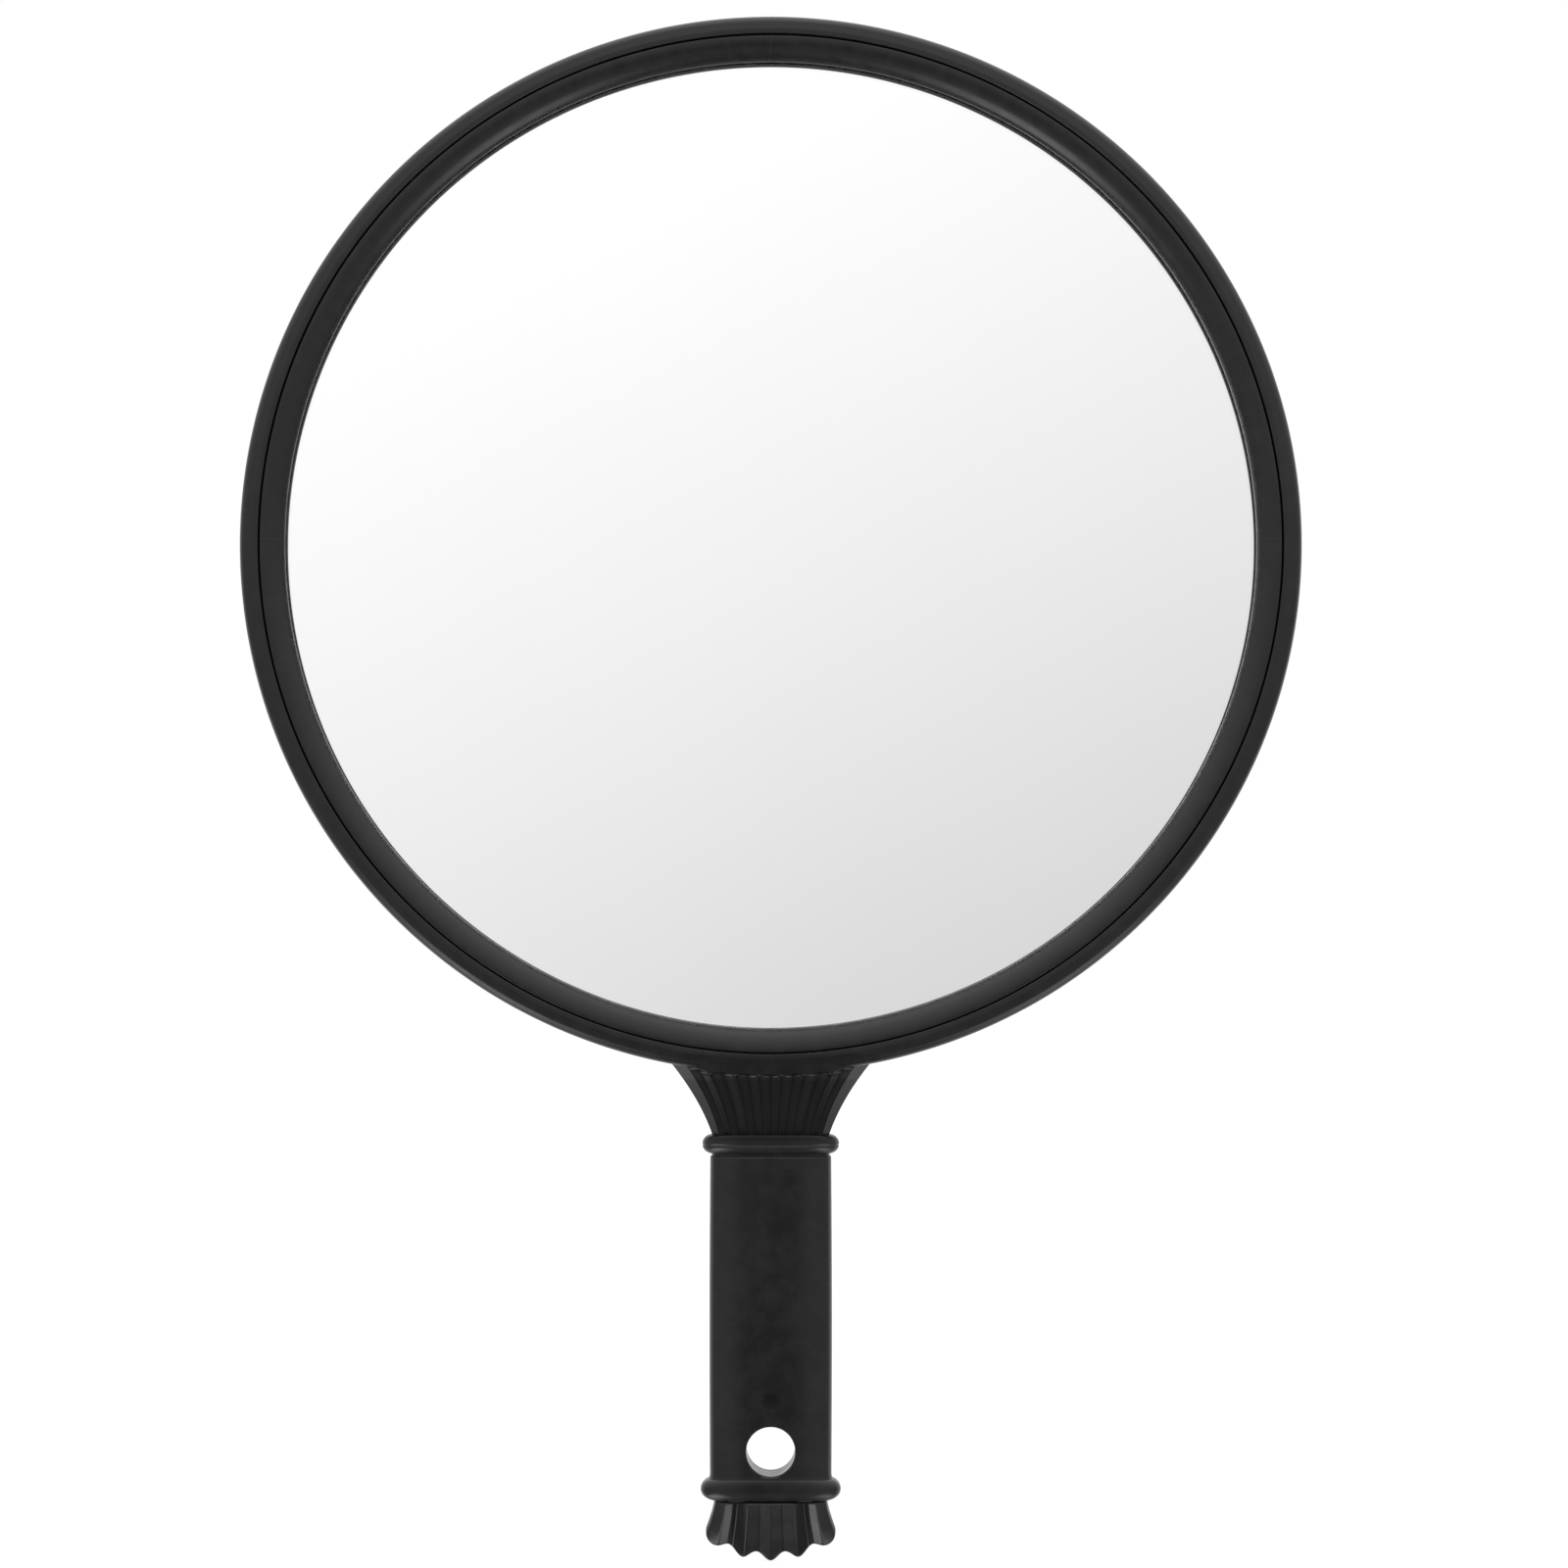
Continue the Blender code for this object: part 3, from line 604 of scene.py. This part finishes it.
def flare_row(v, land_depth, deep):
    """One level of the flare: seven flutes under arches, between two plain facets."""
    rise = v - FLARE_END
    half = FLARE_HALF_WIDTH + FLARE_SPREAD * rise + FLARE_CURVE * rise * rise
    fluted = half - FACET_WIDTH - FACET_SPREAD * rise
    low, gain = FLUTED_DEPTHS
    base = low + gain * float(np.clip((v - FLARE_HIDDEN_END) / FLUTED_RISE, 0.0, 1.0))
    edges = [-e for e in reversed(FLUTE_EDGES)] + list(FLUTE_EDGES)
    flutes = [flute(*pair, v, fluted, base, land_depth, deep) for pair in zip(edges, edges[1:])]
    edge_depth = base - FLUTED_CROWN
    t = np.array(FACET_SHARES)
    facet_x = fluted + (half - fluted) * t
    facet_d = edge_depth - FACET_SLOPE * (half - fluted) * t
    over, down = FACET_EDGE
    facet_x[-2:] = half - np.array([over, 0.0])
    facet_d[-2:] = facet_d[-3] - down, 0.0
    x = np.concatenate([-facet_x[::-1], *[x for x, _ in flutes], [fluted], facet_x])
    depth = np.concatenate([facet_d[::-1], *[d for _, d in flutes], [edge_depth], facet_d])
    return x, np.full(len(x), v), depth


def flare_rows(land_depth, deep):
    """From under the band down into the upper bead, with fine rows across the arches."""
    levels = [-107.9, -108.4]
    levels += list(np.arange(-108.8, -111.25, -0.055))
    levels += list(np.linspace(-111.35, FLARE_HIDDEN_END, 38))
    return [flare_row(v, land_depth, deep) for v in levels]


# ---------------------------------------------------------------- beads and grip


def bead_rows(centre, half_height, core_width, proud, depths, crease, neck):
    """A bead round the handle. crease is the depth of the fine line round its middle, and neck is how far
    its lower end goes on below the bead."""
    upper_depth, middle_depth, lower_depth = depths
    crease_at, crease_width = -4.0, 5.0
    rows = []
    for a in np.radians(np.linspace(90, -90, 61)):
        line = crease * math.exp(-(((math.degrees(a) - crease_at) / crease_width) ** 2))
        stand = max(0.0, proud * math.cos(a) - line)
        core = upper_depth if a > 0 else lower_depth
        deep = max(0.0, (middle_depth - core) * math.cos(a) - line)
        rows.append(level_row(centre + half_height * math.sin(a), core_width + stand, core + deep))
    if neck:
        rows.append(level_row(centre - half_height - neck, core_width, lower_depth))
    return rows


def grip_rows():
    """The plain grip: rounded at its upper end, hardly swelling, and ending in a cove below."""
    edge, swell = 0.32, 0.13
    cove_height, cove_wider, cove_deeper = 2.2, 1.3, 0.26
    rows = []
    for a in np.radians(np.linspace(90, 0, 7)):
        inset = edge * (1.0 - math.cos(a))
        v = GRIP_TOP - edge * (1.0 - math.sin(a))
        rows.append(level_row(v, GRIP_HALF_WIDTH - inset, GRIP_HALF_DEPTH - inset))
    for v in np.linspace(GRIP_TOP - 1.0, GRIP_END, 90):
        wider = swell * math.sin(math.pi * (v - GRIP_TOP) / (GRIP_END - GRIP_TOP))
        rows.append(level_row(v, GRIP_HALF_WIDTH + wider, GRIP_HALF_DEPTH))
    for t in np.linspace(0.1, 1.0, 10):
        v = GRIP_END - cove_height * t
        wider = cove_wider * (1.0 - math.sqrt(1.0 - min(t, 0.999) ** 2))
        deeper = cove_deeper * t * t
        rows.append(level_row(v, GRIP_HALF_WIDTH + wider, GRIP_HALF_DEPTH + deeper))
    return rows


# ---------------------------------------------------------------- foot

PLEATS = (  # (share of half width, how far below the middle ridge), right half of the foot
    (0.0, 0.0),
    (0.18, 0.27),
    (0.20, 0.27),
    (0.395, -0.02),
    (0.41, 0.0),
    (0.575, 1.55),
    (0.595, 1.62),
    (0.665, 1.56),
    (0.79, 1.0),
    (0.805, 1.02),
)
FOOT_DEPTH = 5.6  # of the middle ridge at the foot's upper end, from the parting plane
FOOT_LEAN = 0.32  # the faces draw in by this much for each millimetre down
FOOT_GROOVE = 0.8  # share of the depth that is left in the groove under the bead
FOOT_SHOULDER_ROUND = 0.5
FOOT_SHOULDER_STEP = 0.3  # share of the shoulder's height that is a sharp step
FOOT_SIDE_FALL = 0.52  # share of the depth that a side face loses across its width
FOOT_SIDE_ROUND = 0.85  # from this share of a side face on it rounds off to the parting plane
FOOT_LEVELS = (196.0, 197.4, 199.35, 201.33, 203.1, 203.9)  # below the glass's centre
FOOT_HALF_WIDTHS = (11.3, 11.6, 12.05, 12.67, 13.28, 13.36)

# The scalloped end, from the middle out: two lobes, a shallow step and a round corner
VALLEY_LEVEL = -207.7
STEP_LEVEL = -206.3
STEP_DROP = 0.3
STEP_FROM = 8.9
CORNER_FROM = 10.9
CORNER_WIDTH = 2.4
FOOT_END_HALF_WIDTH = 13.3
FOOT_LOBES = (  # (left end, right end, tip, level at the left, at the right, at the tip)
    (-3.0, 3.0, 0.0, VALLEY_LEVEL, VALLEY_LEVEL, -209.6),
    (3.0, STEP_FROM, 5.75, VALLEY_LEVEL, STEP_LEVEL, -208.85),
)


def foot_end(x):
    """Level of the scalloped end at x."""
    x = np.abs(x)
    level = np.zeros(x.shape)
    for left, right, tip, at_left, at_right, low in FOOT_LOBES:
        t = np.where(x < tip, (tip - x) / (tip - left), (x - tip) / (right - tip))
        valley = np.where(x < tip, at_left, at_right)
        shape = 0.5 + 0.5 * np.cos(np.clip(t, 0.0, 1.0) * math.pi)
        level = np.where((x >= left) & (x <= right), valley + (low - valley) * shape, level)
    t = np.clip((CORNER_FROM - x) / (CORNER_FROM - STEP_FROM), 0.0, 1.0)
    step = STEP_LEVEL - STEP_DROP * (0.5 + 0.5 * np.cos(t * math.pi))
    level = np.where((x > STEP_FROM) & (x <= CORNER_FROM), step, level)
    t = np.clip((x - CORNER_FROM) / CORNER_WIDTH, 0.0, 1.0)
    corner = FOOT_SIDE_END - (FOOT_SIDE_END - STEP_LEVEL + STEP_DROP) * np.sqrt(1.0 - t * t)
    return np.where(x > CORNER_FROM, corner, level)


def foot_rows():
    """Flat pleats that fan out and draw in towards the scalloped end, between two plain side faces."""
    pleated = np.linspace(0.0, 0.8, 121)
    plain = np.linspace(0.8, 0.97, 14)[1:]
    shares = np.concatenate([pleated, plain, [0.982, 0.991, 0.997, 1.0]])
    u = np.concatenate([-shares[::-1], shares[1:]])
    given = np.array(PLEATS)
    sunk = np.interp(np.abs(u), given[:, 0], given[:, 1])
    side = share(np.abs(u), given[-1, 0], 1.0)
    wall = np.sqrt(1.0 - share(side, FOOT_SIDE_ROUND, 1.0) ** 2)
    end = foot_end(u * FOOT_END_HALF_WIDTH)

    def row(t, inset=0.0):
        """The row at share t of the way down, drawn in by inset."""
        level = FOOT_TOP + (end - FOOT_TOP) * t
        side_level = FOOT_TOP + (FOOT_SIDE_END - FOOT_TOP) * t
        spread = float(np.interp(-side_level, FOOT_LEVELS, FOOT_HALF_WIDTHS))
        ridge = FOOT_DEPTH - FOOT_LEAN * (FOOT_TOP - level)
        into = np.clip((FOOT_SHOULDER - level) / FOOT_SHOULDER_ROUND, 0.0, 1.0)
        shoulder = FOOT_SHOULDER_STEP + (1.0 - FOOT_SHOULDER_STEP) * quarter_round(into)
        rise = FOOT_GROOVE + (1.0 - FOOT_GROOVE) * np.where(level < FOOT_SHOULDER, shoulder, 0.0)
        depth = (ridge - sunk) * (1.0 - FOOT_SIDE_FALL * side) * wall * rise
        depth = np.maximum(depth - inset, 0.25 * depth)  # at least a quarter is left where it is thin
        return u * (spread - 0.1 * inset), level, depth

    straight_end, edge = 0.955, 0.5
    straight = (0.0, 0.03, *np.linspace(0.06, 0.2, 44), *np.linspace(0.21, straight_end, 40))
    rows = [row(t) for t in straight]
    for a in np.radians(np.linspace(15, 90, 6)):
        t = straight_end + (1.0 - straight_end) * math.sin(a)
        rows.append(row(t, edge * (1.0 - math.cos(a))))
    rows.append(row(1.0, 2 * edge))
    return rows


# ---------------------------------------------------------------- cutters


def hole_cutter():
    """A round cutter that flares at both faces, so that the hole gets softly rounded rims.

    The rings close to both rims and to both sides of the tongue's face keep the shading of the wall even."""
    front_lip, back_lip, margin = 0.3, 0.15, 0.07
    wide, low, high = HOLE_R + 3.0, -3.0, 15.0
    back, front = PARTING - GRIP_HALF_DEPTH, PARTING + GRIP_HALF_DEPTH
    profile = [(0.0, low), (wide, low)]
    for a in np.radians(np.linspace(0, 90, 8)):
        out, up = 1.0 - math.sin(a), 1.0 - math.cos(a)
        profile.append((HOLE_R + back_lip * out, back + back_lip * up))
    for h in (back + back_lip + margin, PARTING - 0.8, PARTING - 0.72, front - front_lip - margin):
        profile.append((HOLE_R, h))
    for a in np.radians(np.linspace(90, 0, 8)):
        out, down = 1.0 - math.sin(a), 1.0 - math.cos(a)
        profile.append((HOLE_R + front_lip * out, front - front_lip * down))
    profile += [(wide, high), (0.0, high)]
    return lathe("hole_cutter", profile, PLASTIC_HANDLE, 96, closed=False, centre=(0.0, HOLE_V))


def dimple_cutter(v):
    """A very flat ball that leaves the sink mark over the screw's boss."""
    deep, half_width, steps = 0.12, 2.15, 8
    ball = (half_width**2 + deep**2) / (2 * deep)
    reach = half_width * 1.15  # far enough for the ball's edge to come out of the face
    face = PARTING + GRIP_HALF_DEPTH
    profile = [(0.0, face - deep)]
    for k in range(1, steps + 1):
        r = reach * k / steps
        profile.append((r, face - deep + ball - math.sqrt(ball**2 - r * r)))
    profile += [(reach, face + 1.0), (0.0, face + 1.0)]
    return lathe("dimple_cutter", profile, PLASTIC_HANDLE, 64, closed=False, centre=(0.0, v))


def screw_way_cutter(v):
    """The way of a screw through the back moulding: a well for its head and a hole for its shank."""
    below, seat, above = -2.0, 3.4, 9.0
    well, hole = 2.95, 1.55
    profile = [(0.0, below), (well, below), (well, seat), (hole, seat), (hole, above), (0.0, above)]
    return lathe("way_cutter", profile, PLASTIC_HANDLE, 48, closed=False, centre=(0.0, v))


# ---------------------------------------------------------------- head


def band_profile():
    """The outer band of the front moulding, with a round outer shoulder and a crown beside the seam."""
    bore = SEAM_R + SEAM_HALF_GAP
    foot = PARTING + 0.15
    roll, roll_centre = 1.95, 10.15
    shoulder = [
        (HEAD_R - roll + roll * math.cos(a), roll_centre + roll * math.sin(a), 0.0)
        for a in np.radians(np.linspace(4, 78, 14))
    ]
    return rounded(
        [
            (BAND_SHELF_R, foot, 0.0),
            (HEAD_R, foot, 0.22),
            (HEAD_R, roll_centre + 0.1, 0.0),
            *shoulder,
            (bore + 1.0, CROWN, 0.6),
            (bore, CROWN - 0.05, 0.16),
            (bore, BAND_SHELF_H, 0.0),
            (BAND_SHELF_R, BAND_SHELF_H, 0.0),
        ]
    )


def bezel_profile():
    """The bezel: a skirt along the seam, and a long roll from its crown down to the lip on the glass."""
    skirt = SEAM_R - SEAM_HALF_GAP
    inside = GLASS_R + 0.4
    roll = []
    for a in np.radians(np.linspace(90, 0, 22)):
        r = LIP_R + (skirt - 0.14 - LIP_R) * (1.0 - math.cos(a))
        roll.append((r, LIP_TOP + (SEAM_H - LIP_TOP) * math.sin(a)))
    return [
        (inside, LIP_UNDER),
        (inside, BEZEL_UNDER),
        (skirt, BEZEL_UNDER),
        (skirt, SEAM_H - 0.16),
        (skirt - 0.02, SEAM_H - 0.07),
        (skirt - 0.07, SEAM_H - 0.02),
        *roll,
        (LIP_R, LIP_UNDER + 0.08),
        (LIP_R + 0.08, LIP_UNDER),
    ]


def pan_profile():
    """The back pan: flat with one shallow ring, a round outer edge, and a bead that locates the band."""
    outer = HEAD_R - 0.1
    high = PARTING - 0.15
    wall = 2.2
    ring, ring_deep = 99.0, 0.4
    bead_in, bead_out, bead_top = 108.0, 109.1, high + 1.2
    return rounded(
        [
            (0.0, 0.0, 0.0),
            (ring - 0.8, 0.0, 0.35),
            (ring - 0.25, ring_deep, 0.3),
            (ring + 0.25, ring_deep, 0.3),
            (ring + 0.8, 0.0, 0.35),
            (outer, 0.0, 2.6),
            (outer, high, 0.22),
            (bead_out, high, 0.0),
            (bead_out - 0.1, bead_top, 0.0),
            (bead_in + 0.1, bead_top, 0.0),
            (bead_in, high, 0.0),
            (outer - wall, high, 0.0),
            (outer - wall, wall + 1.0, 0.0),
            (outer - wall - 1.0, wall, 0.0),
            (0.0, wall, 0.0),
        ],
        steps=8,
    )


# ---------------------------------------------------------------- build

PLASTIC_HEAD = black_plastic("black_plastic_head")
PLASTIC_BEZEL = black_plastic("black_plastic_bezel", knit_lines=True)
PLASTIC_HANDLE = black_plastic("black_plastic_handle", grip_wear=True)


def settle(piece, node):
    """Makes piece ride on the only body, in place of a CAD node, which it hides."""
    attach(piece, "root")
    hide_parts(node)


def build_head():
    band = lathe("frame_band", band_profile(), PLASTIC_HEAD)
    settle(band, "front_frame")
    bezel = lathe("bezel", bezel_profile(), PLASTIC_BEZEL, BEZEL_STEPS)
    settle(bezel, "bezel_ring")
    pan = lathe("cover_pan", pan_profile(), PLASTIC_HEAD, closed=False)
    settle(pan, "rear_cover")


def build_glass():
    """The glass: clear, silvered on its back, ground at its edge, and painted dark as shade where the bezel
    covers it.
    """
    ground = 0.25
    profile = [
        (0.0, GLASS_BACK),
        (GLASS_R - ground, GLASS_BACK),
        (GLASS_R, GLASS_BACK + ground),
        (GLASS_R, GLASS_FRONT - ground),
        (GLASS_R - ground, GLASS_FRONT),
        (LIP_R + 0.01, GLASS_FRONT),
        (0.0, GLASS_FRONT),
    ]
    glass = lathe("glass_plate", profile, clear_glass("mirror_glass_clear"), closed=False, sharp=20.0)
    silvered, edge, covered = 1, 2, 3
    for finish in (
        silvering("mirror_silvering"),
        ground_edge_and_painted_shade("ground_glass_edge", (0.10, 0.13, 0.12, 1.0), (0.16, 0.19, 0.18, 1.0)),
        # painted shade: a dark matt ring on the glass under the bezel's lip, standing for the shade and the
        # lip's dark reflection
        ground_edge_and_painted_shade("painted_shade_glass_rim", grey(0.009), grey(0.014)),
    ):
        glass.data.materials.append(finish)
    back = -(GLASS_BACK + 0.01) * MM
    for face in glass.data.polygons:
        corners = [glass.data.vertices[i].co for i in face.vertices]
        nearest = min(math.hypot(corner.x, corner.z) for corner in corners)
        if all(corner.y > back for corner in corners):
            face.material_index = silvered
        elif nearest > (GLASS_R - ground - 0.01) * MM:
            face.material_index = edge
        elif nearest > LIP_R * MM:
            face.material_index = covered
    settle(glass, "mirror_glass")


def build_handle():
    """Both halves of the handle, each in five stretches."""
    for side, label, node in ((1, "frame", "front_frame"), (-1, "cover", "rear_cover")):
        stretches = {
            "flare": flare_rows(**(FRONT_FLARE if side > 0 else BACK_FLARE)),
            "upper_bead": bead_rows(**UPPER_BEAD),
            "grip": grip_rows(),
            "lower_bead": bead_rows(**LOWER_BEAD),
            "foot": foot_rows(),
        }
        pieces = {}
        for part, rows in stretches.items():
            sharp = 50.0 if part == "flare" else 35.0
            name = f"{label}_{part}"
            pieces[part] = half_body(name, rows, side, PLASTIC_HANDLE, sharp, tongue=part != "foot")
        cut_with(pieces["grip"], hole_cutter())
        if side > 0:
            cut_with(pieces["grip"], dimple_cutter(MARK_V))
        else:
            cut_with(pieces["flare"], screw_way_cutter(SCREW_VS[0]))
            for v in SCREW_VS[1:]:
                cut_with(pieces["grip"], screw_way_cutter(v))
        for part, piece in pieces.items():
            piece.data.set_sharp_from_angle(angle=math.radians(24 if part == "flare" else 40))
            settle(piece, node)


def screw_profile():
    """A domed head, a shank with rings for its thread, and a blunt tip."""
    head, rim, dome = 2.5, 2.75, 1.15
    turns, start, length = 9, 3.3, 4.4
    core, crest = 1.0, 1.28
    profile = [(0.0, rim - dome)]
    for a in np.radians(np.linspace(12, 78, 9)):
        profile.append((head * math.sin(a), rim - dome * math.cos(a)))
    profile += [(head + 0.05, rim), (head + 0.05, 3.0), (head - 0.02, 3.1), (core + 0.05, 3.1)]
    for k in range(turns):
        low = start + length * k / turns
        pitch = length / turns
        profile += [(core, low), (crest, low + pitch * 0.5), (core, low + pitch * 0.98)]
    return profile + [(0.95, 7.9), (0.45, 8.6), (0.0, 8.6)]


def build_screws():
    """The three screws, each with a cross recess in its head."""
    metal = zinc("zinc_screw")
    long, wide, deep = 2.7, 0.55, 1.7
    for number, v in enumerate(SCREW_VS, 1):
        name, centre = f"screw_{number}", (0.0, v)
        screw = lathe(name, screw_profile(), metal, 64, closed=False, centre=centre, sharp=45.0)
        for turn in (0.0, math.pi / 2):
            bpy.ops.mesh.primitive_cube_add(size=1.0)
            slot = bpy.context.object
            slot.scale = (long * MM, deep * MM, wide * MM)
            slot.rotation_euler = (0.0, turn + math.radians(20), 0.0)
            slot.location = to_row(0.0, v, 1.6)
            cut_with(screw, slot)
        screw.data.set_sharp_from_angle(angle=math.radians(40))
        settle(screw, f"handle_screw_{number}")


def dress_hidden_nodes():
    """New materials for the CAD nodes that stay: the film behind the glass and the foam pads."""
    film, pad = vinyl("vinyl_film"), foam("foam")
    for name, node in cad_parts.items():
        if name == "safety_film" or name.startswith("foam_pad"):
            node.data.materials.clear()
            node.data.materials.append(film if name == "safety_film" else pad)


# ---------------------------------------------------------------- light, floor and camera


def patch(s, direction, target, inner, outer, strength):
    """A soft-edged patch of light round a direction. inner and outer are angles in degrees."""
    dot = s.measure("DOT_PRODUCT", direction, tuple(Vector(target).normalized()))
    edge, core = math.cos(math.radians(outer)), math.cos(math.radians(inner))
    return s.ramp(dot, edge, core, 0.0, strength)


def softbox(s, direction, y, side, strength):
    """A tall lamp low at the front left (-1) or right (1), 45 to 90 degrees away from the front."""
    lengthwise = s.measure("DOT_PRODUCT", direction, (0.6 * side, 0.0, -0.8))
    crosswise = s.measure("DOT_PRODUCT", direction, (0.8, 0.0, 0.6 * side))
    width = s.ramp(s.math("ABSOLUTE", crosswise), 0.04, 0.30, 1.0, 0.0)
    reach = s.ramp(lengthwise, 0.58, 0.78, 0.0, strength)
    return s.product(width, reach, s.ramp(y, -0.08, 0.06, 1.0, 0.0))


def lamp_light(s, direction, y, z):
    """A front that brightens upwards round a dark camera, a white backdrop behind the object, an overhead
    light and two softboxes low at the front."""
    camera_shade = patch(s, direction, (-0.01, -1.0, -0.15), 6, 15, 0.82)
    front = s.product(
        s.ramp(z, -0.1, 0.7, 0.40, 1.08),
        s.math("SUBTRACT", 1.0, camera_shade),
        s.ramp(z, -0.73, -0.34, 0.38, 1.0),  # hardly any light comes up from the floor
    )
    backdrop = s.ramp(y, -0.02, 0.25, 0.0, 1.0)
    overhead = patch(s, direction, (0.0, 0.0, 1.0), 15, 55, 0.55)
    softboxes = s.total(softbox(s, direction, y, -1.0, 3.3), softbox(s, direction, y, 1.0, 2.3))
    return s.total(s.math("MAXIMUM", front, backdrop), overhead, softboxes)


def mirrored_light(s, x, z):
    """The gradient in the glass: 0.774 + 1.21 z - 0.31 z^2 + x (0.442 z - 0.07 x - 0.659)."""
    slope = s.total(s.product(x, -0.07), s.product(z, 0.442))
    across = s.product(s.math("SUBTRACT", slope, 0.659), x)
    upward = s.product(s.math("SUBTRACT", 1.21, s.product(z, 0.31)), z)
    light = s.total(across, upward, 0.774)
    return s.math("MINIMUM", s.math("MAXIMUM", light, 0.45), 1.15)


def build_world():
    """A soft studio. Camera rays see plain white, the mirror sees a gentle gradient, and rough surfaces see
    the lamps."""
    world = bpy.data.worlds.new("studio")
    bpy.context.scene.world = world
    s = Shader(world)
    ray = s.node("ShaderNodeLightPath").outputs
    direction = s.node("ShaderNodeTexCoord").outputs["Generated"]
    x, y, z = s.node("ShaderNodeSeparateXYZ", Vector=direction).outputs
    lamps, mirror = lamp_light(s, direction, y, z), mirrored_light(s, x, z)
    seen_by_object = s.mix_value(ray["Is Singular Ray"], lamps, mirror)
    level = s.mix_value(ray["Is Camera Ray"], seen_by_object, 1.0)
    background = s.node("ShaderNodeBackground", Color=grey(1.0), Strength=level)
    s.output(background, "ShaderNodeOutputWorld")


def pale_floor(name):
    """A matt, faintly mottled surface that mostly glows, so that it stays pale without a lamp of its own."""
    glow_share = 0.8
    made = bpy.data.materials.new(name)
    s = Shader(made)
    tone = s.mix_colour(s.noise(s.point(), 300.0), grey(0.80), grey(0.84))
    both = s.node("ShaderNodeMixShader")
    s.feed(both, 0, glow_share)
    s.feed(both, 1, s.node("ShaderNodeBsdfDiffuse", Color=tone))
    s.feed(both, 2, s.node("ShaderNodeEmission", Color=grey(1.0), Strength=1.16))
    s.output(both)
    return made


def build_floor():
    """A wide pale floor that only the camera sees, so that lamps below its level still light the object."""
    side, gap = 6000.0, 0.4
    level = (BOTTOM - gap) * MM
    corners = [(-side, -side), (side, -side), (side, side), (-side, side)]
    mesh = bpy.data.meshes.new("floor")
    mesh.from_pydata([(x * MM, y * MM, level) for x, y in corners], [], [(0, 1, 2, 3)])
    mesh.materials.append(pale_floor("pale_floor"))
    floor = bpy.data.objects.new("floor", mesh)
    bpy.context.scene.collection.objects.link(floor)
    for kind in ("diffuse", "glossy", "transmission", "shadow", "volume_scatter"):
        setattr(floor, f"visible_{kind}", False)


def build_camera():
    """A camera a little below the middle of the whole mirror, tilted slightly up."""
    sensor, lens, pitch = 36.0, 73.8, 2.94
    data = bpy.data.cameras.new("camera")
    data.sensor_width, data.lens = sensor, lens
    data.clip_start, data.clip_end = 0.01, 50.0
    camera = bpy.data.objects.new("camera", data)
    camera.location = to_row(2.73, -84.5, 672.7)
    camera.rotation_euler = (math.radians(90 + pitch), 0.0, 0.0)
    bpy.context.scene.collection.objects.link(camera)
    bpy.context.scene.camera = camera


build_head()
build_glass()
build_handle()
build_screws()
dress_hidden_nodes()
build_world()
build_floor()
build_camera()
bpy.context.scene.view_settings.view_transform = "Standard"
bpy.context.scene.view_settings.look = "None"
